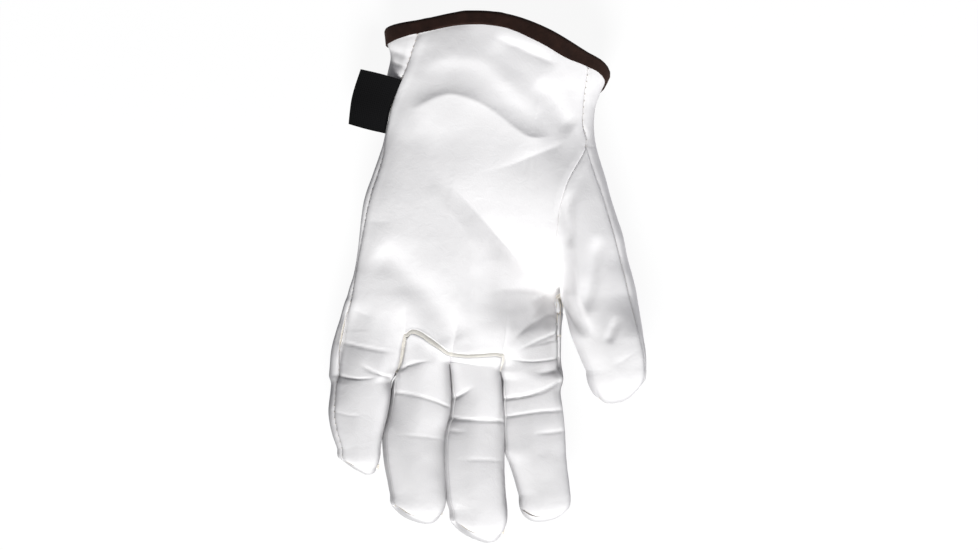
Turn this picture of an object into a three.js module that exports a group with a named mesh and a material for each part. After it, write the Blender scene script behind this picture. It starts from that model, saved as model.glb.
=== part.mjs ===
// Leather driver glove, left hand, lying on its back with the palm up.
// Millimetres. +Z is up, +Y runs to the cuff, +X to the thumb.
// The whole outside is one net of points. It is cut at the seams into panels, and each
// panel is thickened inwards into a leather wall with a small gap at every seam.
import * as THREE from 'three';

// Driving sizes
const WALL = 1.5;
const SEAM_GAP = 0.38;
const WELT_SLOT = 1.5;
const LABEL_SLOT = 2.2;
const FLAT_DEPTH = 3;

// A corner sharper than this, such as a crotch, isn't deepened to keep the wall's thickness
const SHARPEST = 0.55;

// How finely the net is cut
const COLS_PER_FINGER = 4;
const SIDE_COLS = 3;
const TUBE_ROWS = 7;
const CAP_ROWS = 4;

// Roundness of the cross-sections: 2 is an ellipse, more is squarer
const BODY_ROUND = 2.4;
const FINGER_ROUND = 2.6;
const BACK_CORNER = 0.86;
const SIDE_FULLNESS = 1.12;

const MATERIALS = {
  leather: { color: 0xf2f1ef, roughness: 0.62, metalness: 0 },
  back: { color: 0xecebe9, roughness: 0.66, metalness: 0 },
  welt: { color: 0xe6e0d6, roughness: 0.7, metalness: 0 },
  suede: { color: 0x38241f, roughness: 0.9, metalness: 0 },
  ribbon: { color: 0x161618, roughness: 0.85, metalness: 0 },
};

// Cross lines of the palm from the cuff to the finger crotches.
// left and right are the seams, y0 to y4 the line on the five lengthways lines,
// steps how many rows of the net lie between this line and the next.
const PALM_LINES = [
  { name: 'cuff', left: -32.5, right: 48.4, y0: 121.6, y1: 125.7, y2: 124.4, y3: 117.0, y4: 105.9, steps: 1 },
  { name: 'binding', left: -33.6, right: 47.8, y0: 115.1, y1: 119.2, y2: 117.9, y3: 110.5, y4: 99.4, steps: 2 },
  { name: 'wrist', left: -38.5, right: 46.1, y0: 100.2, y1: 103.0, y2: 100.5, y3: 94.5, y4: 86.0, steps: 2 },
  { name: 'label', left: -46.1, right: 45.3, y0: 81.2, y1: 82.0, y2: 80.5, y3: 76.5, y4: 72.5, steps: 2 },
  { name: 'thumb top', left: -50.0, right: 46.5, y0: 57.0, y1: 59.0, y2: 60.0, y3: 61.0, y4: 61.3, steps: 3 },
  { name: 'heel', left: -56.5, right: 36.8, y0: 36.5, y1: 38.0, y2: 39.5, y3: 41.0, y4: 42.0, steps: 3 },
  { name: 'hollow', left: -61.0, right: 32.8, y0: 13.5, y1: 14.0, y2: 15.0, y3: 16.5, y4: 18.0, steps: 3 },
  { name: 'thumb crotch', left: -65.2, right: 34.2, y0: -9.5, y1: -9.5, y2: -9.5, y3: -9.5, y4: -9.5, steps: 3 },
  { name: 'welt', left: -68.6, right: 31.2, y0: -26.0, y1: -26.2, y2: -35.1, y3: -34.8, y4: -31.0, steps: 2 },
  { name: 'crotch', left: -72.0, right: 31.6, y0: -47.0, y1: -45.6, y2: -42.5, y3: -44.7, y4: -43.0, steps: 0 },
];
const LINE_SHARE = [0, 0.27, 0.51, 0.75, 1];
const THUMB_TOP = 4;
const THUMB_CROTCH = 7;
const WELT_LINE = 8;
const CROTCH_LINE = 9;
const WELT_HUMP = { column: 1.25, spread: 0.3, rise: 2.6 };

// How much lower the back of the cuff is than the palm side, and how high the binding's
// folded thickness holds the back off the surface there
const CUFF_DROP = 7;
const CUFF_DROP_THUMB_SIDE = 19;
const CUFF_REST = 1.5;

// Thumb's outer seam: x by height, and the y that each palm line reaches there
const THUMB_SEAM = [
  { y: 61.3, x: 46.5 },
  { y: 48.0, x: 50.8 },
  { y: 36.0, x: 55.1 },
  { y: 17.0, x: 60.8 },
  { y: 0.5, x: 65.1 },
  { y: -9.0, x: 67.3 },
];
const THUMB_LINE_Y = [61.3, 43.5, 19.0, -8.0];
const THUMB_BACK_X = 37;

// Body sections: outline left and right, height of the widest line, and of the top at
// the left, in the middle and at the right, and how far the underside lifts at the right.
const BODY = [
  { y: 127, left: -48.8, right: 61.5, mid: 17, topL: 34, topM: 36, topR: 35, lift: 0 },
  { y: 112, left: -48.0, right: 60.4, mid: 17, topL: 34, topM: 36, topR: 35, lift: 0 },
  { y: 104, left: -46.2, right: 59.6, mid: 16, topL: 33, topM: 35, topR: 34, lift: 0 },
  { y: 95, left: -48.0, right: 57.2, mid: 16, topL: 32, topM: 34, topR: 33, lift: 0 },
  { y: 87, left: -48.2, right: 53.4, mid: 15, topL: 31, topM: 33, topR: 33, lift: 0 },
  { y: 79, left: -48.2, right: 50.8, mid: 15, topL: 31, topM: 32, topR: 33, lift: 0 },
  { y: 65, left: -48.8, right: 50.8, mid: 15, topL: 30, topM: 31, topR: 34, lift: 0 },
  { y: 48, left: -54.6, right: 55.3, mid: 15, topL: 30, topM: 32, topR: 36, lift: 1 },
  { y: 36, left: -58.8, right: 58.8, mid: 15, topL: 31, topM: 33, topR: 38, lift: 2 },
  { y: 19.5, left: -60.8, right: 64.0, mid: 15, topL: 32, topM: 34, topR: 40, lift: 3 },
  { y: 0, left: -63.8, right: 68.8, mid: 16, topL: 32, topM: 34, topR: 41, lift: 5 },
  { y: -12, left: -67.8, right: 71.4, mid: 16, topL: 32, topM: 34, topR: 41, lift: 6 },
];

// The hand below the thumb: the same columns, ending at the index finger's side
const HAND = [
  { y: -8, left: -66.4, right: 34.6, mid: 15, topL: 32, topM: 33, topR: 34, lift: 0 },
  { y: -20, left: -70.2, right: 34.2, mid: 14, topL: 32, topM: 32, topR: 29, lift: 0 },
  { y: -30, left: -73.4, right: 33.4, mid: 13, topL: 31, topM: 30, topR: 25, lift: 0 },
  { y: -40, left: -74.8, right: 33.2, mid: 12, topL: 30, topM: 26, topR: 22, lift: 0 },
  { y: -50, left: -75.2, right: 35.6, mid: 12, topL: 29, topM: 24, topR: 21, lift: 0 },
];

// Fingers: outline left and right and underside and top at each y. The cap closes the
// tip over length cap, slant moves its right side down, cornerL and cornerR are the
// seams as shares of the half width.
const FINGERS = [
  {
    name: 'little', cap: 10.5, slant: 4.5, cornerL: 0.84, cornerR: 0.8, narrow: 0.22,
    rows: [
      { y: -46, left: -74.8, right: -45.4, low: 1, high: 28 },
      { y: -56, left: -75.2, right: -46.3, low: 4, high: 29 },
      { y: -66, left: -75.2, right: -47.8, low: 9, high: 31 },
      { y: -74, left: -74.0, right: -50.2, low: 13, high: 33 },
      { y: -82, left: -71.2, right: -50.9, low: 17, high: 35 },
    ],
  },
  {
    name: 'ring', cap: 13, slant: 3, cornerL: 0.81, cornerR: 0.81, narrow: 0.2,
    rows: [
      { y: -46, left: -44.7, right: -19.2, low: 0, high: 22 },
      { y: -58, left: -45.6, right: -18.3, low: 1, high: 22 },
      { y: -70, left: -48.2, right: -20.8, low: 4, high: 23 },
      { y: -86, left: -49.9, right: -21.6, low: 9, high: 26 },
      { y: -103.5, left: -46.8, right: -20.8, low: 15, high: 31 },
    ],
  },
  {
    name: 'middle', cap: 14, slant: 4, cornerL: 0.81, cornerR: 0.81, narrow: 0.2,
    rows: [
      { y: -44, left: -18.4, right: 5.6, low: 0, high: 20 },
      { y: -58, left: -17.5, right: 5.8, low: 1, high: 20 },
      { y: -70, left: -20.0, right: 6.9, low: 3, high: 21 },
      { y: -88, left: -20.9, right: 6.6, low: 7, high: 23 },
      { y: -111, left: -18.2, right: 8.9, low: 13, high: 28 },
    ],
  },
  {
    name: 'index', cap: 12, slant: -1.5, cornerL: 0.81, cornerR: 0.84, narrow: 0.13,
    rows: [
      { y: -46, left: 6.8, right: 35.2, low: 0, high: 20 },
      { y: -58, left: 6.6, right: 34.8, low: 1, high: 21 },
      { y: -70, left: 7.6, right: 36.0, low: 4, high: 22 },
      { y: -86, left: 10.5, right: 37.2, low: 8, high: 25 },
      { y: -104, left: 15.2, right: 39.2, low: 14, high: 30 },
    ],
  },
];

const THUMB = {
  name: 'thumb', cap: 15, slant: -1.5, cornerL: 0.8, cornerR: 0.7, narrow: 0.3,
  rows: [
    { y: -10, left: 34.6, right: 71.0, low: 5, high: 41 },
    { y: -20, left: 36.6, right: 73.0, low: 9, high: 42 },
    { y: -29, left: 39.6, right: 74.6, low: 12, high: 43 },
    { y: -38, left: 43.4, right: 75.8, low: 15, high: 43 },
    { y: -45, left: 46.6, right: 75.6, low: 17, high: 42 },
  ],
};

// Folds of the palm side: each is a groove (or a ridge, depth under 0) along a short path
const FOLDS = [
  { name: 'cuff arc', width: 8, depth: 2.6, path: [[-37, 81], [-24, 87], [-9, 87], [6, 78], [21, 68], [31, 69]] },
  { name: 'cuff ridge', width: 7, depth: -1.6, path: [[-30, 99], [-10, 104], [8, 92], [24, 76]] },
  { name: 'thumb diagonal', width: 8, depth: 2.4, path: [[-22, 34], [-4, 20], [14, 5], [33, -9]] },
  { name: 'heel diagonal', width: 8, depth: 2.0, path: [[-51, 9], [-36, -1], [-24, -16], [-19, -23]] },
  { name: 'thumb pull', width: 7, depth: 3.2, path: [[6, -25], [17, -16], [33, -10]] },
  { name: 'thumb root', width: 6, depth: 1.8, path: [[37, 31], [39, 20], [37, 8]] },
  { name: 'thumb fold', width: 6, depth: 1.8, path: [[53, 19], [51, 8], [47, -10], [45, -18]] },
  { name: 'little joint', width: 5, depth: 1.8, path: [[-70, -33], [-58, -35], [-47, -36]] },
  { name: 'middle joint', width: 5, depth: 2.0, path: [[-18, -67], [-6, -68], [5, -68]] },
  { name: 'index joint', width: 5, depth: 2.2, path: [[8, -58], [24, -55], [34, -51]] },
  { name: 'ring joint', width: 5, depth: 1.6, path: [[-43, -56], [-30, -58], [-20, -61]] },
];

// Cuff binding, a strip folded over the edge: leg length, thickness and gap to the wall
const BINDING = { leg: 5.6, thick: 1.1, gap: 0.3, over: 0.4 };

// Welt, a bead with a flange that the seam holds
const WELT = { half: 1.6, low: 0.55, shoulder: 1.2, top: 1.9, flange: 0.4, deep: -1.2, from: 0.5, taper: 0.6 };

// Label, a folded ribbon held by the left seam
const LABEL = { yTop: 93.6, yEnd: 67.9, reach: 19.3, thick: 1.0, deep: -1.0, aside: 0.25, clear: 1.1, sag: 3.0, rows: 6, cols: 6 };
const LABEL_DIRECTION = [-0.968, 0.253];

// Plain helpers
const lerp = (a, b, t) => a + (b - a) * t;
const clamp = (t, low = 0, high = 1) => Math.min(high, Math.max(low, t));
const smooth = (t) => clamp(t) ** 2 * (3 - 2 * clamp(t));
const mix = (a, b, t) => a.clone().lerp(b, t);
const steps = (count) => Array.from({ length: count + 1 }, (_, i) => i / count);

// A smooth curve through values that lie at rising places
function curve(places, values, at) {
  const last = places.length - 1;
  const p = clamp(at, places[0], places[last]);
  let i = 0;
  while (i < last - 1 && p > places[i + 1]) i += 1;
  const slope = (k) => {
    const a = Math.max(0, k - 1);
    const b = Math.min(last, k + 1);
    return (values[b] - values[a]) / (places[b] - places[a]);
  };
  const span = places[i + 1] - places[i];
  const t = (p - places[i]) / span;
  return (
    values[i] * (1 + 2 * t) * (1 - t) ** 2 +
    values[i + 1] * t * t * (3 - 2 * t) +
    slope(i) * span * t * (1 - t) ** 2 -
    slope(i + 1) * span * t * t * (1 - t)
  );
}

// A table read at one y: an object with every other column
function section(table, y) {
  const places = table.map((row) => -row.y);
  const result = {};
  for (const key of Object.keys(table[0])) {
    if (key === 'y' || key === 'name') continue;
    result[key] = curve(places, table.map((row) => row[key]), -y);
  }
  return result;
}

// The two triangles of a four-sided cell, cut along its shorter diagonal
function halves([a, b, c, d]) {
  return a.distanceTo(c) <= b.distanceTo(d) ? [[0, 1, 2], [0, 2, 3]] : [[0, 1, 3], [1, 2, 3]];
}

const lineOf = (key, v) => curve(PALM_LINES.map((_, i) => i), PALM_LINES.map((row) => row[key]), v);

// The third side of the superellipse: 1 in the middle and 0 at the outline
const arch = (u, round) => Math.max(0, 1 - Math.abs(u) ** round) ** (1 / round);

// Height of the top of a body section at share u of its half width
function topAt(s, u) {
  return lerp(s.topM, u > 0 ? s.topR : s.topL, smooth(Math.abs(u) / 0.7));
}

function bodyPoint(s, y, u, w) {
  const x = (s.left + s.right) / 2 + ((s.right - s.left) / 2) * u;
  if (w >= 0) return new THREE.Vector3(x, y, s.mid + (topAt(s, u) - s.mid) * w);
  const floor = s.lift * smooth((u - 0.1) / 0.9);
  return new THREE.Vector3(x, y, Math.max(floor, s.mid + (s.mid - floor + FLAT_DEPTH) * w));
}

const shareOf = (s, x) => clamp((2 * x - s.left - s.right) / (s.right - s.left), -0.999, 0.999);

// One point of the palm side above plan point x, y
function palmPoint(table, x, y) {
  const s = section(table, y);
  const u = shareOf(s, x);
  return bodyPoint(s, y, u, arch(u, BODY_ROUND));
}

// One point of the back below plan point x, y
function backPoint(table, x, y) {
  const s = section(table, y);
  const u = shareOf(s, x);
  return bodyPoint(s, y, u, -arch(u, BODY_ROUND));
}

// The side from a palm seam round the outline to the corner of the back
function bodySide(table, start, yEnd, sign) {
  const power = 2 / BODY_ROUND;
  return steps(SIDE_COLS).map((q) => {
    const y = lerp(start.y, yEnd, q);
    const s = section(table, y);
    const first = Math.acos(Math.abs(shareOf(s, start.x)) ** (1 / power));
    const end = -Math.acos(BACK_CORNER ** (1 / power));
    const angle = lerp(first, end, q);
    const w = Math.sign(angle) * Math.abs(Math.sin(angle)) ** power;
    return bodyPoint(s, y, sign * Math.cos(angle) ** power, w);
  });
}

// Plan position of the palm net at line v and column c from 0 to 4
function palmPlan(v, c) {
  const share = curve([0, 1, 2, 3, 4], LINE_SHARE, c);
  const ys = ['y0', 'y1', 'y2', 'y3', 'y4'].map((key) => lineOf(key, v));
  const near = smooth(1 - Math.abs(v - WELT_LINE));
  const hump = WELT_HUMP.rise * Math.exp(-(((c - WELT_HUMP.column) / WELT_HUMP.spread) ** 2)) * near;
  return { x: lerp(lineOf('left', v), lineOf('right', v), share), y: curve([0, 1, 2, 3, 4], ys, c) + hump };
}

const columns = Array.from({ length: 4 * COLS_PER_FINGER + 1 }, (_, i) => i / COLS_PER_FINGER);

function cornerX(table, y, sign) {
  const s = section(table, y);
  return (s.left + s.right) / 2 + (sign * BACK_CORNER * (s.right - s.left)) / 2;
}

// One row of the net round the body, from the cuff to the thumb crotch
function bodyRow(v) {
  const palm = columns.map((c) => {
    const p = palmPlan(v, c);
    return palmPoint(BODY, p.x, p.y);
  });
  const easing = smooth(1 - Math.max(0, v - 1) / (THUMB_TOP - 1));
  const drop = CUFF_DROP * easing;
  const inThumb = clamp((v - THUMB_TOP) / (THUMB_CROTCH - THUMB_TOP));
  const seamY = curve([0, 1, 2, 3], THUMB_LINE_Y, clamp(v - THUMB_TOP, 0, 3));
  const seamX = curve(THUMB_SEAM.map((r) => -r.y), THUMB_SEAM.map((r) => r.x), -seamY);
  const inner = palm[palm.length - 1];
  const outer = inThumb > 0 ? palmPoint(BODY, seamX, seamY) : inner;
  const thumbFront = steps(COLS_PER_FINGER).map((t) =>
    inThumb > 0 ? palmPoint(BODY, lerp(inner.x, outer.x, t), lerp(inner.y, outer.y, t)) : inner.clone(),
  );
  const rightEnd = outer.y - CUFF_DROP_THUMB_SIDE * easing;
  const right = bodySide(BODY, outer, rightEnd, 1);
  const left = bodySide(BODY, palm[0], palm[0].y - drop, -1);
  const corner = right[SIDE_COLS];
  const innerBack = lerp(corner.x, THUMB_BACK_X, smooth(inThumb));
  const back = columns.map((c) => {
    const p = palmPlan(v, c);
    const share = curve([0, 1, 2, 3, 4], LINE_SHARE, c);
    const y = lerp(p.y - drop, inThumb > 0 ? p.y : rightEnd, share ** 2);
    return backPoint(BODY, lerp(left[SIDE_COLS].x, innerBack, share), y);
  });
  back[0] = left[SIDE_COLS].clone();
  if (inThumb === 0) back[back.length - 1] = corner.clone();
  const innerCorner = back[back.length - 1];
  const thumbBack = steps(COLS_PER_FINGER).map((t) =>
    inThumb > 0
      ? backPoint(BODY, lerp(innerCorner.x, corner.x, t), lerp(innerCorner.y, corner.y, t))
      : innerCorner.clone(),
  );
  thumbBack[COLS_PER_FINGER] = corner.clone();
  const rest = CUFF_REST * (1 - smooth(v - 1));
  for (const list of [right, thumbBack, back, left]) {
    for (const p of list) p.z = Math.max(p.z, rest);
  }
  return { palm, thumbFront, right, thumbBack, back, left };
}

// The same row of the hand below the thumb, before it is joined to the rows above
function handRow(v) {
  const palm = columns.map((c) => {
    const p = palmPlan(v, c);
    return palmPoint(HAND, p.x, p.y);
  });
  const right = bodySide(HAND, palm[palm.length - 1], palm[palm.length - 1].y, 1);
  const left = bodySide(HAND, palm[0], palm[0].y, -1);
  const back = columns.map((c) => {
    const p = palmPlan(v, c);
    const share = curve([0, 1, 2, 3, 4], LINE_SHARE, c);
    return backPoint(HAND, lerp(left[SIDE_COLS].x, right[SIDE_COLS].x, share), p.y);
  });
  back[0] = left[SIDE_COLS].clone();
  back[back.length - 1] = right[SIDE_COLS].clone();
  return { palm, right, back, left };
}

// Every list of a row moved by a share of how far its base row is from the row it should meet
function joined(row, ownBase, base, share) {
  const result = {};
  for (const key of Object.keys(row)) {
    result[key] = row[key].map((p, i) => p.clone().addScaledVector(base[key][i].clone().sub(ownBase[key][i]), share));
  }
  return result;
}

// A finger's side between its front and back corners, bulging to the outline
function fingerSide(front, back, sign, bulge) {
  return steps(SIDE_COLS).map((q) => {
    const p = mix(front, back, q);
    p.x += sign * bulge * SIDE_FULLNESS * 4 * q * (1 - q);
    return p;
  });
}

// One row round a finger. The front closes to the tip seam over a shorter arc than the
// back, so the seam lies on the palm side and the back shows past it.
function fingerRow(finger, y, cap) {
  const s = section(finger.rows, y);
  const half = (s.right - s.left) / 2;
  const centre = (s.right + s.left) / 2;
  const middle = (s.high + s.low) / 2;
  const depth = (s.high - s.low) / 2;
  const rows = finger.rows;
  const a = rows[rows.length - 2];
  const b = rows[rows.length - 1];
  const climb = (b.high + b.low - a.high - a.low) / 2 / (a.y - b.y);
  const point = (u, w, angle) => {
    const round = 1 - 0.45 * Math.abs(u) ** 3;
    const closed = Math.sin(angle) ** 2;
    const out = Math.sin(angle) * finger.cap * round + finger.slant * u * closed;
    const x = centre + half * u * (1 - finger.narrow * closed);
    return new THREE.Vector3(x, y - out, middle + climb * Math.max(0, out) + depth * w * Math.cos(angle));
  };
  const frontAngle = (cap * 50 * Math.PI) / 180;
  const backAngle = (cap * 130 * Math.PI) / 180;
  const across = steps(COLS_PER_FINGER).map((t) => lerp(-finger.cornerL, finger.cornerR, t));
  const front = across.map((u) => point(u, arch(u, FINGER_ROUND), frontAngle));
  const back = across.map((u) => point(u, -arch(u, FINGER_ROUND), backAngle));
  const end = COLS_PER_FINGER;
  const open = (p, q) => p.distanceTo(q) / (2 * depth * 0.717);
  const right = fingerSide(front[end], back[end], 1, half * (1 - finger.cornerR) * open(front[end], back[end]));
  const left = fingerSide(front[0], back[0], -1, half * (1 - finger.cornerL) * open(front[0], back[0]));
  return { front, right, back, left };
}

function fingerRows(finger, base, blend) {
  const first = finger.rows[0].y;
  const last = finger.rows[finger.rows.length - 1].y;
  const own = fingerRow(finger, first, 0);
  const rows = [base];
  for (let i = 1; i <= TUBE_ROWS; i += 1) {
    const y = lerp(first, last, i / TUBE_ROWS);
    const share = 1 - smooth((first - y) / blend);
    rows.push(joined(fingerRow(finger, y, 0), own, base, share));
  }
  for (let i = 1; i <= CAP_ROWS; i += 1) rows.push(fingerRow(finger, last, i / CAP_ROWS));
  return rows;
}

// Straight crossing from a palm crotch to a back crotch
const crossing = (top, bottom) => steps(SIDE_COLS).map((q) => mix(top, bottom, q));

// How far the folds press a palm-side point in
function foldDepth(p) {
  let sum = 0;
  for (const fold of FOLDS) {
    let nearest = Infinity;
    for (let i = 0; i + 1 < fold.path.length; i += 1) {
      const [ax, ay] = fold.path[i];
      const [bx, by] = fold.path[i + 1];
      const long = (bx - ax) ** 2 + (by - ay) ** 2;
      const t = clamp(((p.x - ax) * (bx - ax) + (p.y - ay) * (by - ay)) / long);
      nearest = Math.min(nearest, Math.hypot(p.x - lerp(ax, bx, t), p.y - lerp(ay, by, t)));
    }
    sum += fold.depth * Math.exp(-((nearest / fold.width) ** 2) * 2);
  }
  return sum;
}

function pressFolds(list) {
  for (const p of list) p.z -= foldDepth(p);
  return list;
}

// The net: welded points and triangles that each know their panel
class Net {
  constructor() {
    this.points = [];
    this.keys = new Map();
    this.faces = [];
  }

  index(p) {
    const key = [p.x, p.y, p.z].map((n) => Math.round(n * 1000)).join(',');
    if (!this.keys.has(key)) {
      this.keys.set(key, this.points.length);
      this.points.push(p.clone());
    }
    return this.keys.get(key);
  }

  patch(rows, panel, flip) {
    const ids = rows.map((row) => row.map((p) => this.index(p)));
    for (let r = 0; r + 1 < ids.length; r += 1) {
      for (let c = 0; c + 1 < ids[r].length; c += 1) {
        const quad = [ids[r][c], ids[r + 1][c], ids[r + 1][c + 1], ids[r][c + 1]];
        for (const [i, j, k] of halves(quad.map((id) => this.points[id]))) {
          this.face(quad[i], quad[j], quad[k], panel, flip);
        }
      }
    }
  }

  face(a, b, c, panel, flip) {
    if (a === b || b === c || a === c) return;
    this.faces.push({ ids: flip ? [a, c, b] : [a, b, c], panel });
  }

  faceNormal(face) {
    const [a, b, c] = face.ids.map((i) => this.points[i]);
    return new THREE.Vector3().crossVectors(b.clone().sub(a), c.clone().sub(a)).normalize();
  }

  // Normals that every panel shares, so the cut edges of neighbours stay parallel
  finish() {
    this.normals = this.points.map(() => new THREE.Vector3());
    this.reach = this.points.map(() => 1);
    for (const face of this.faces) {
      face.normal = this.faceNormal(face);
      face.ids.forEach((id, k) => {
        const p = this.points[id];
        const a = this.points[face.ids[(k + 1) % 3]].clone().sub(p);
        const b = this.points[face.ids[(k + 2) % 3]].clone().sub(p);
        this.normals[id].addScaledVector(face.normal, a.angleTo(b));
      });
    }
    this.normals.forEach((n) => n.normalize());
    for (const face of this.faces) {
      for (const id of face.ids) this.reach[id] = Math.min(this.reach[id], this.normals[id].dot(face.normal));
    }
    this.owner = new Map();
    for (const face of this.faces) {
      face.ids.forEach((id, k) => this.owner.set(`${id},${face.ids[(k + 1) % 3]}`, face.panel));
    }
  }
}

// Half the gap at a seam between two panels
function halfGap(net, a, b, panel) {
  const other = net.owner.get(`${b},${a}`);
  if (!other) return 0;
  const pair = [panel, other];
  if (pair.includes('palm_panel') && (pair.includes('ring_finger_front') || pair.includes('middle_finger_front'))) {
    return WELT_SLOT / 2;
  }
  const y = (net.points[a].y + net.points[b].y) / 2;
  const atLabel = net.points[a].x < 0 && y > LABEL.yEnd - 8 && y < LABEL.yTop + 4;
  if (pair.includes('palm_panel') && pair.includes('back_panel') && atLabel) return LABEL_SLOT / 2;
  return SEAM_GAP / 2;
}

// One panel of the net as a closed leather wall
function panelGeometry(net, panel) {
  const faces = net.faces.filter((face) => face.panel === panel);
  const edges = new Map();
  for (const face of faces) {
    face.ids.forEach((id, k) => edges.set(`${id},${face.ids[(k + 1) % 3]}`, { a: id, b: face.ids[(k + 1) % 3], face }));
  }
  const rim = [...edges.values()].filter((e) => !edges.has(`${e.b},${e.a}`));
  const pulls = new Map();
  for (const { a, b, face } of rim) {
    const along = net.points[b].clone().sub(net.points[a]).normalize();
    const inward = new THREE.Vector3().crossVectors(face.normal, along);
    const gap = halfGap(net, a, b, panel);
    for (const id of [a, b]) pulls.set(id, [...(pulls.get(id) ?? []), { inward, gap }]);
  }
  const outer = new Map();
  const inner = new Map();
  const points = [];
  const add = (map, id, p) => {
    map.set(id, points.length / 3);
    points.push(p.x, p.y, p.z);
  };
  for (const id of new Set(faces.flatMap((face) => face.ids))) {
    const p = net.points[id].clone();
    const list = pulls.get(id) ?? [];
    if (list.length === 2) {
      const spread = Math.max(0.3, 1 + list[0].inward.dot(list[1].inward));
      for (const { inward, gap } of list) p.addScaledVector(inward, gap / spread);
    } else {
      for (const { inward, gap } of list) p.addScaledVector(inward, (gap * 2) / list.length);
    }
    add(outer, id, p);
    const depth = WALL / (net.reach[id] < SHARPEST ? 1 : Math.max(0.8, net.reach[id]));
    add(inner, id, p.clone().addScaledVector(net.normals[id], -depth));
  }
  const index = [];
  for (const { ids } of faces) {
    const [a, b, c] = ids;
    index.push(outer.get(a), outer.get(b), outer.get(c));
    index.push(inner.get(a), inner.get(c), inner.get(b));
  }
  for (const { a, b } of rim) {
    const quad = [outer.get(a), inner.get(a), inner.get(b), outer.get(b)];
    const first = a < b ? 0 : 3;
    const [p, q, r, s] = [0, 1, 2, 3].map((k) => quad[(first + k) % 4]);
    index.push(p, q, r, p, r, s);
  }
  return outward(points, index);
}

// A geometry whose faces all point outwards: they are turned round where the volume is negative
function outward(points, index) {
  const corner = (i) => new THREE.Vector3(points[3 * i], points[3 * i + 1], points[3 * i + 2]);
  let volume = 0;
  for (let i = 0; i < index.length; i += 3) {
    volume += corner(index[i]).dot(corner(index[i + 1]).cross(corner(index[i + 2])));
  }
  const geometry = new THREE.BufferGeometry();
  geometry.setAttribute('position', new THREE.Float32BufferAttribute(points, 3));
  geometry.setIndex(volume < 0 ? [...index].reverse() : index);
  geometry.computeVertexNormals();
  return geometry;
}

// A closed profile carried along frames; each frame has a point and two directions
function sweep(frames, profile, closed) {
  const places = [];
  const index = [];
  for (const f of frames) {
    for (const [s, n] of profile) {
      const p = f.point.clone().addScaledVector(f.side, s * (f.wide ?? 1)).addScaledVector(f.up, n * (f.tall ?? 1));
      places.push(p);
    }
  }
  const size = profile.length;
  const spans = closed ? frames.length : frames.length - 1;
  for (let r = 0; r < spans; r += 1) {
    const next = (r + 1) % frames.length;
    for (let k = 0; k < size; k += 1) {
      const l = (k + 1) % size;
      const quad = [r * size + k, r * size + l, next * size + l, next * size + k];
      for (const corners of halves(quad.map((i) => places[i]))) index.push(...corners.map((i) => quad[i]));
    }
  }
  if (!closed) {
    const flat = profile.map(([s, n]) => new THREE.Vector2(s, n));
    const last = (frames.length - 1) * size;
    for (const [a, b, c] of THREE.ShapeUtils.triangulateShape(flat, [])) {
      index.push(c, b, a);
      index.push(last + a, last + b, last + c);
    }
  }
  return outward(places.flatMap((p) => [p.x, p.y, p.z]), index);
}

// All rows of the body and hand, from the cuff to the finger crotches
function buildRows() {
  const body = [];
  const hand = [];
  PALM_LINES.forEach((line, i) => {
    for (let k = 0; k < line.steps; k += 1) {
      const v = i + k / line.steps;
      if (i < THUMB_CROTCH) body.push({ v, row: bodyRow(v) });
      else if (v > THUMB_CROTCH) hand.push({ v, row: handRow(v) });
    }
  });
  const split = { v: THUMB_CROTCH, row: bodyRow(THUMB_CROTCH) };
  body.push(split);
  hand.push({ v: CROTCH_LINE, row: handRow(CROTCH_LINE) });
  const own = handRow(THUMB_CROTCH);
  const base = {
    palm: split.row.palm,
    back: split.row.back,
    left: split.row.left,
    right: crossing(split.row.palm[columns.length - 1], split.row.back[columns.length - 1]),
  };
  for (const item of hand) {
    const share = 1 - smooth((item.v - THUMB_CROTCH) / (CROTCH_LINE - THUMB_CROTCH));
    item.row = joined(item.row, own, base, share);
  }
  hand.unshift({ v: THUMB_CROTCH, row: base });
  return { body, hand };
}

// The crotch row takes its heights from the fingers, and the rows above ease into it
function settleCrotch(hand) {
  const last = hand[hand.length - 1].row;
  const n = COLS_PER_FINGER;
  const target = last.palm.map((p) => p.clone());
  const floor = last.back.map((p) => p.clone());
  FINGERS.forEach((finger, f) => {
    const row = fingerRow(finger, finger.rows[0].y, 0);
    row.front.forEach((p, i) => {
      const shared = (i === 0 && f > 0) || (i === n && f < 3);
      const at = f * n + i;
      if (shared) {
        target[at].z = i === 0 ? (target[at].z + p.z) / 2 : p.z;
        floor[at].z = i === 0 ? Math.min(floor[at].z, row.back[i].z) : row.back[i].z;
      } else if (i > 0 && i < n) {
        target[at].z = p.z;
        floor[at].z = row.back[i].z;
      }
    });
  });
  const from = WELT_LINE - 0.5;
  for (const { v, row } of hand) {
    const share = smooth((v - from) / (CROTCH_LINE - from));
    row.palm.forEach((p, i) => {
      p.z += (target[i].z - last.palm[i].z) * share * (row === last ? 0 : 1);
    });
    if (row !== last) row.back.forEach((p, i) => { p.z = Math.max(0, p.z + (floor[i].z - last.back[i].z) * share); });
  }
  last.palm = target;
  last.back = floor.map((p) => new THREE.Vector3(p.x, p.y, Math.max(0, p.z)));
  last.left[SIDE_COLS] = last.back[0].clone();
  last.right[SIDE_COLS] = last.back[last.back.length - 1].clone();
}

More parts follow.
